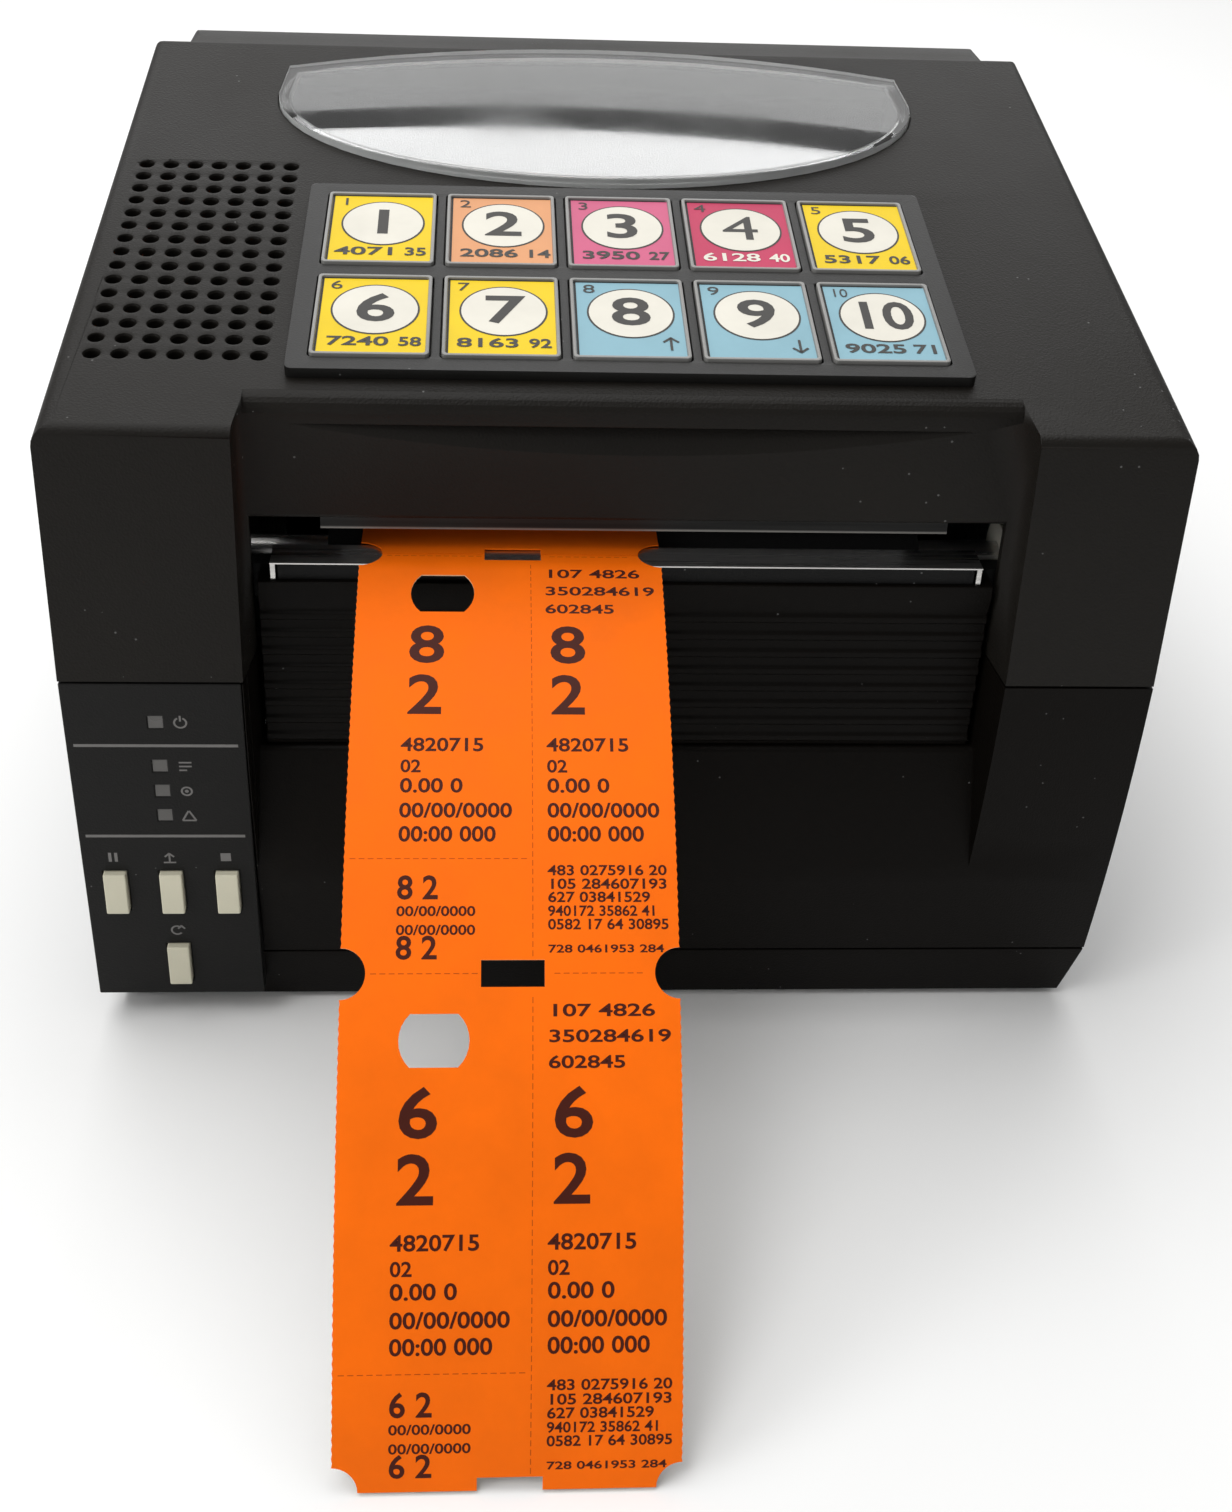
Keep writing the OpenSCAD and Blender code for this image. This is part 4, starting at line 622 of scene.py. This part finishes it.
def lightCentres():
    zs = sorted({round(v.co.z, 5) for v in nodes["led_windows"].data.vertices}, reverse=True)
    return [(a + b) / 2 for a, b in zip(zs[::2], zs[1::2])]


def panelSigns():
    bm = bmesh.new()
    h, t, lift = panelMarks["signH"], panelMarks["stroke"], panelMarks["lift"]
    middle, across = (panelLow.x + panelHigh.x) / 2, panelHigh.x - panelLow.x - panelMarks["lineShort"]
    for z in panelMarks["lines"]:
        addBar(bm, middle, panelY(z), across, panelMarks["lineH"], lift)
    x = nodeCentre("led_windows").x + panelMarks["besideLight"]
    power, printing, state, fault = [panelY(z) for z in lightCentres()]
    addRing(bm, x, power, 0.42 * h, t, lift, 115, 310)
    addBar(bm, x, power + 0.36 * h, t, 0.5 * h, lift)
    for k, w in enumerate((0.9, 0.9, 0.55)):
        addBar(bm, x - (0.9 - w) * h / 2 + 0.2 * mm, printing + (1 - k) * 0.34 * h, w * h, t, lift)
    addRing(bm, x, state, 0.36 * h, t, lift)
    addDisc(bm, x, state, 0.14 * h, 0.14 * h, lift)
    for turn in (-1, 1):
        addBar(bm, x + turn * 0.25 * h, fault, t, h, lift, 0, 0.0, turn * math.radians(28))
    addBar(bm, x, fault - 0.44 * h, h, t, lift)
    for node in allButtons:
        y = panelY(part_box(node)[1].z) + panelMarks["overButton"]
        buttonSign(bm, node, nodeCentre(node).x, y, h, t, lift)
    bmesh.ops.transform(bm, matrix=panelPlace, verts=bm.verts)
    bmesh.ops.recalc_face_normals(bm, faces=bm.faces)
    return newPiece("panelMarks", bm, [markInk], "case")


def buttonSign(bm, node, x, y, h, t, lift):
    if node == "pause_button":
        for side in (-1, 1):
            addBar(bm, x + side * 0.22 * h, y, 1.6 * t, 0.85 * h, lift)
    elif node == "feed_button":
        addBar(bm, x, y - 0.1 * h, t, 0.7 * h, lift)
        for side in (-1, 1):
            addBar(bm, x + side * 0.16 * h, y + 0.2 * h, t, 0.5 * h, lift, 0, 0.0, side * math.radians(45))
        addBar(bm, x, y - 0.5 * h, 0.9 * h, t, lift)
    elif node == "stop_button":
        addBar(bm, x, y, 0.75 * h, 0.75 * h, lift)
    else:
        addRing(bm, x, y, 0.4 * h, t, lift, 40, 280)
        for turn in (-1, 1):
            tipX = x + 0.34 * h + turn * 0.12 * h
            addBar(bm, tipX, y + 0.3 * h, t, 0.42 * h, lift, 0, 0.0, turn * math.radians(40))


panelSigns()
print("panel signs done")


# The printed strip: two tickets cut flat, printed, then bent over the tear bar

stripLow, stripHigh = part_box("ticket_strip")
strip = {
    "thick": 0.3 * mm,
    "flat": 3.0 * mm,  # level over the tear bar
    "bendR": 8.0 * mm,  # then a bend down, and a long arc to the table
    "bendTurn": math.radians(20),
    "notch": 4.7 * mm,
    "gap": (11.8 * mm, 4.9 * mm, 0.4 * mm),  # sensor gap: width, height, place from the strip's middle
    "holeW": 13.0 * mm,
    "holeH": 9.5 * mm,
    "holeAt": 12.0 * mm,  # from a ticket's end to the middle of its hanger hole
    "holeX": -14.0 * mm,  # from the strip's middle
    "tooth": 0.16 * mm,
    "toothPitch": 1.7 * mm,
    "bendStep": 1.5 * mm,
    "fold": 4.1 * mm,  # the lengthwise perforation, from the strip's middle
    "dash": (1.1 * mm, 1.7 * mm, 0.16 * mm),  # perforation: length, pitch and width of a slit
    "stub": 0.766,  # share of a ticket above its tear-off stub
    "firstSlits": 0.9 * mm,
    "slitMargin": (0.8 * mm, 0.6 * mm),  # to the strip's edge, and to a notch
    "columns": {"left": -21.4 * mm, "right": 6.9 * mm},  # where the print starts, from the strip's middle
    "largeFrom": 8.0,  # rows taller than this, in mm, start a little further in
    "largeIn": 0.8 * mm,
    "em": 1.36,  # letter size for a figure of height 1
    "bold": 0.018,
    "inkLift": 0.03 * mm,
    "slitLift": 0.012 * mm,
    "ink": (0.06, 0.011, 0.006),
}
thick, flatRun, bendTurn = strip["thick"], strip["flat"], strip["bendTurn"]
bendMid = strip["bendR"] + thick / 2
bendAt = Vector((stripHigh.y - flatRun, stripHigh.z - thick - strip["bendR"]))
bendEnd = flatRun + bendMid * bendTurn
# the arc carries on where the bend ends and reaches the strip's lowest point
inward = Vector((math.sin(bendTurn), -math.cos(bendTurn)))
arcStart = bendAt - (strip["bendR"] + thick) * inward
toTip = Vector((stripLow.y, stripLow.z)) - arcStart
arcOuter = toTip.length_squared / (2 * toTip.dot(inward))
arcAt = arcStart + arcOuter * inward
arcMid = arcOuter - thick / 2
stripW = stripHigh.x - stripLow.x
stripX = (stripHigh.x + stripLow.x) / 2
stripLen = bendEnd + arcMid * (math.acos((stripLow.z + 0.25 * thick - arcAt.y) / arcMid) - bendTurn)
ticketLen = stripLen / 2


def onStrip(s, h):
    if s < flatRun:
        return stripHigh.y - s, stripHigh.z - thick / 2 + h
    if s < bendEnd:
        a, r, at = (s - flatRun) / bendMid, bendMid + h, bendAt
    else:
        a, r, at = bendTurn + (s - bendEnd) / arcMid, arcMid + h, arcAt
    return at.x - r * math.sin(a), at.y + r * math.cos(a)


def bendStrip(bm, atCorners=False):
    # x stays, y is the length from the break under the cover, z the height over the card's middle
    lines = [k * strip["bendStep"] for k in range(1, int(stripLen / strip["bendStep"]))]
    lines += [flatRun + (bendEnd - flatRun) * k / 8 for k in range(9)]
    if atCorners:
        lines += [v.co.y for v in bm.verts]
    last = 0.0
    for s in sorted(lines):
        if s - last > 0.02 * mm:
            bmesh.ops.bisect_plane(bm, geom=bm.verts[:] + bm.edges[:] + bm.faces[:], dist=1e-6,
                                   plane_co=(0, s, 0), plane_no=(0, 1, 0))
            last = s
    for v in bm.verts:
        v.co = Vector((v.co.x + stripX, *onStrip(v.co.y, v.co.z)))


def cutStrip():
    # outline and hanger holes as one flat filled curve
    curve = bpy.data.curves.new("cut", "CURVE")
    curve.dimensions = "2D"
    curve.fill_mode = "BOTH"
    addLoop(curve, stripOutline())
    for k in (0, 1):
        addLoop(curve, holeOutline(strip["holeX"], k * ticketLen + strip["holeAt"]))
    addLoop(curve, gapCorners(ticketLen, (-1, 1)))
    holder = bpy.data.objects.new("cut", curve)
    bpy.context.scene.collection.objects.link(holder)
    bpy.context.view_layer.update()
    mesh = bpy.data.meshes.new_from_object(holder.evaluated_get(bpy.context.evaluated_depsgraph_get()))
    bpy.data.objects.remove(holder)
    bpy.data.curves.remove(curve)
    bm = bmesh.new()
    bm.from_mesh(mesh)
    bpy.data.meshes.remove(mesh)
    bmesh.ops.remove_doubles(bm, verts=bm.verts, dist=1e-6)
    return bm


def addLoop(curve, points):
    s = curve.splines.new("POLY")
    s.points.add(len(points) - 1)
    for p, (x, y) in zip(s.points, points):
        p.co = (x, y, 0, 1)
    s.use_cyclic_u = True


def sideLine(side):
    # down one side, from the break: half notch, toothed edge, notch, toothed edge, half notch
    half, r = side * stripW / 2, strip["notch"]
    points = []
    for k, s in enumerate((0.0, ticketLen, stripLen)):
        first = 90 if k == 0 else 0
        last = 90 if k == 2 else 180
        for step in range(first, last + 1, 10):
            a = math.radians(step)
            points.append((half - side * r * math.sin(a), s - r * math.cos(a)))
        if k < 2:
            start, end = s + r, (ticketLen, stripLen)[k] - r
            count = int((end - start) / strip["toothPitch"])
            for t in range(1, 2 * count):
                inset = strip["tooth"] if t % 2 else 0.0
                points.append((half - side * inset, start + (end - start) * t / (2 * count)))
    return points


def gapCorners(s, ends):
    # a sensor gap, or its half at either end of the strip
    w, h, x = strip["gap"]
    first, last = s + ends[0] * h / 2, s + ends[1] * h / 2
    return [(x + w / 2, first), (x + w / 2, last), (x - w / 2, last), (x - w / 2, first)]


def stripOutline():
    foot = gapCorners(stripLen, (-1, 0))
    head = gapCorners(0.0, (0, 1))
    footCut = [foot[1], foot[0], foot[3], foot[2]]
    headCut = [head[3], head[2], head[1], head[0]]
    return sideLine(1) + footCut + sideLine(-1)[::-1] + headCut


def holeOutline(x, s):
    points = []
    r, cut = strip["holeW"] / 2, math.degrees(math.asin(strip["holeH"] / strip["holeW"]))
    for side in (0, 180):
        for k in range(9):
            a = math.radians(side - cut + 2 * cut * k / 8)
            points.append((x + r * math.cos(a), s + r * math.sin(a)))
    return points


def ticketSheet():
    bm = cutStrip()
    area = sum(f.calc_area() for f in bm.faces)
    bendStrip(bm, True)
    faceOut(bm)
    core = cardStock("cardCore", (0.82, 0.5, 0.3), 0.7, 1800.0)  # pale at the cut edges
    back = cardStock("cardBack", (0.8, 0.72, 0.64), 0.7, 1400.0)
    card = [finish["ticket_card"], core, back]
    piece = newPiece("ticketSheet", bm, card, "case", ["ticket_strip"])
    wall = piece.modifiers.new("card", "SOLIDIFY")
    wall.thickness = strip["thick"]
    wall.offset = 0.0
    wall.material_offset_rim = 1
    wall.material_offset = 2
    return piece


# Printed rows: figures, height, width, and place down the ticket, in mm
bothColumns = [
    ("{n}", 9.0, 7.0, 25.2), ("2", 9.0, 6.6, 36.8), ("4820715", 2.9, 16.0, 47.4), ("02", 2.7, 3.9, 51.9),
    ("0.00 0", 3.0, 12.0, 55.9), ("00/00/0000", 3.0, 21.5, 60.9), ("00:00 000", 3.1, 18.4, 65.6),
]
columnRows = {
    "left": bothColumns + [
        ("{n} 2", 4.6, 7.6, 76.0), ("00/00/0000", 1.9, 14.7, 80.3), ("00/00/0000", 1.9, 14.7, 83.8),
        ("{n} 2", 4.4, 7.6, 87.2)],
    "right": [("107 4826", 2.3, 18.8, 6.8), ("350284619", 2.3, 22.4, 11.4), ("602845", 2.3, 14.0, 16.0)]
    + bothColumns + [
        ("483 0275916 20", 2.0, 22.6, 72.6), ("105 284607193", 2.0, 21.8, 75.2),
        ("627 03841529", 2.0, 19.2, 77.7), ("940172 35862 41", 2.0, 20.0, 80.3),
        ("0582 17 64 30895", 2.0, 22.6, 82.8), ("728 0461953 284", 1.5, 21.6, 87.3)],
}


def ticketPrint():
    bm = bmesh.new()
    for k, number in enumerate(("8", "6")):
        for side, rows in columnRows.items():
            for figures, size, width, at in rows:
                x = strip["columns"][side] + (strip["largeIn"] if size > strip["largeFrom"] else 0)
                y = -(k * ticketLen + at * mm)
                em = size * mm * strip["em"]
                addText(bm, figures.format(n=number), x, y, em, 0.0, strip["bold"], "LEFT", width=width * mm)
    lift = thick / 2 + strip["inkLift"]
    for v in bm.verts:
        v.co = Vector((v.co.x, -v.co.y, lift))
    bmesh.ops.remove_doubles(bm, verts=bm.verts, dist=1e-7)
    bendStrip(bm)
    faceOut(bm)
    ink = cardStock("ticketInk", strip["ink"], 0.5, 1800.0)
    return newPiece("ticketInk", bm, [ink], "case")


def faceOut(bm):
    bm.normal_update()
    for f in bm.faces:
        if f.normal.z < f.normal.y:
            f.normal_flip()


def ticketPerforation():
    bm = bmesh.new()
    lift = thick / 2 + strip["slitLift"]
    edge = stripW / 2
    dash, pitch, thin = strip["dash"]
    gapW, gapH, gapX = strip["gap"]
    stub = strip["stub"] * ticketLen
    toEdge, toNotch = strip["slitMargin"]
    rows = ((strip["firstSlits"], True), (ticketLen, True), (stub, False), (ticketLen + stub, False))
    for s, notched in rows:
        reach = edge - (strip["notch"] + toNotch if notched else toEdge)
        stop = reach if notched else strip["fold"]
        for i in range(int((reach + stop) / pitch)):
            x = -reach + (i + 0.5) * pitch
            if not notched or abs(x - gapX) > gapW / 2 + dash:
                addBar(bm, x, s, dash, thin, lift)
    for i in range(int(stripLen / pitch) - 1):
        s = (i + 0.8) * pitch
        if min(abs(s - end) for end in (0.0, ticketLen, stripLen)) > gapH / 2 + dash:
            addBar(bm, strip["fold"], s, thin, dash, lift)
    bendStrip(bm)
    faceOut(bm)
    slit = cardStock("ticketSlit", (0.46, 0.062, 0.003), 0.7, 1400.0)
    return newPiece("ticketPerforation", bm, [slit], "case")


ticketSheet()
ticketPrint()
ticketPerforation()
print("ticket strip done")


# Floor, light and camera

floorLook = {"size": 6.0, "colour": (0.86, 0.86, 0.855)}


def floorMaterial():
    mat, tree, skin, place = startMaterial("paleFloor", Specular_IOR_Level=0.1)
    cloud = noiseAt(tree, place, 3.0, 2.0)
    shade = tuple(c * 0.985 for c in floorLook["colour"])
    tree.links.new(mixColour(tree, cloud, shade, floorLook["colour"]), skin.inputs["Base Color"])
    skin.inputs["Roughness"].default_value = 0.8
    return mat


def makeFloor():
    bm = bmesh.new()
    bmesh.ops.create_grid(bm, x_segments=1, y_segments=1, size=floorLook["size"] / 2)
    mesh = bpy.data.meshes.new("floor")
    bm.to_mesh(mesh)
    bm.free()
    mesh.materials.append(floorMaterial())
    floor = bpy.data.objects.new("floor", mesh)
    bpy.context.scene.collection.objects.link(floor)


lamps = {
    # place, aim, width, height, power in watts
    "overhead": ((-0.2, 0.3, 1.6), (0, 0, 0.1), 1.6, 1.2, 21.0),
    "frontTop": ((-0.6, -0.75, 1.45), (-0.02, -0.1, 0.06), 0.6, 0.5, 5.5),
    "leftSide": ((-1.1, -0.6, 0.55), (0, -0.05, 0.08), 0.5, 0.6, 4.5),
    "rearStrip": ((0.02, 1.0, 0.98), (0, 0.03, 0.18), 1.5, 0.06, 1.3),
    "rearWall": ((0.0, 1.9, 1.0), (0, 0, 0.15), 2.6, 1.0, 11.0),
}


def makeLamps():
    for name, (place, aim, width, height, power) in lamps.items():
        light = bpy.data.lights.new(name, "AREA")
        light.shape = "RECTANGLE"
        light.size, light.size_y = width, height
        light.energy = power
        lamp = bpy.data.objects.new(name, light)
        lamp.location = place
        lamp.rotation_euler = (Vector(aim) - Vector(place)).to_track_quat("-Z", "Y").to_euler()
        bpy.context.scene.collection.objects.link(lamp)


def makeWorld():
    world = bpy.data.worlds.new("studio")
    bpy.context.scene.world = world
    world.use_nodes = True
    sky = world.node_tree.nodes["Background"]
    sky.inputs["Color"].default_value = (1, 1, 1, 1)
    sky.inputs["Strength"].default_value = 0.35


camera = {
    "place": (-0.02742, -0.40851, 0.30896),
    "pitch": 29.82,  # degrees down
    "yaw": 3.75,  # degrees to the right
    "roll": 2.34,
    "focal": 1843.35,  # in pixels of the picture
    "axis": (589.54, 570.53),  # the optical axis in the picture
    "picture": (1232, 1512),
}


def makeCamera():
    pitch, yaw, roll = [math.radians(camera[k]) for k in ("pitch", "yaw", "roll")]
    ahead = Vector((math.sin(yaw) * math.cos(pitch), math.cos(yaw) * math.cos(pitch), -math.sin(pitch)))
    right = Vector((math.cos(yaw), -math.sin(yaw), 0))
    up = right.cross(ahead)
    across = math.cos(roll) * right + math.sin(roll) * up
    over = -math.sin(roll) * right + math.cos(roll) * up
    wide, tall = camera["picture"]
    data = bpy.data.cameras.new("camera")
    data.sensor_width = 36.0
    data.lens = camera["focal"] * data.sensor_width / tall
    data.shift_x = (wide / 2 - camera["axis"][0]) / tall
    data.shift_y = (camera["axis"][1] - tall / 2) / tall
    data.clip_start = 0.01
    eye = bpy.data.objects.new("camera", data)
    turn = Matrix((across, over, -ahead)).transposed().to_4x4()
    eye.matrix_world = Matrix.Translation(camera["place"]) @ turn
    bpy.context.scene.collection.objects.link(eye)
    bpy.context.scene.camera = eye


makeFloor()
makeLamps()
makeWorld()
makeCamera()
bpy.context.scene.view_settings.view_transform = "Standard"
print("stage set")
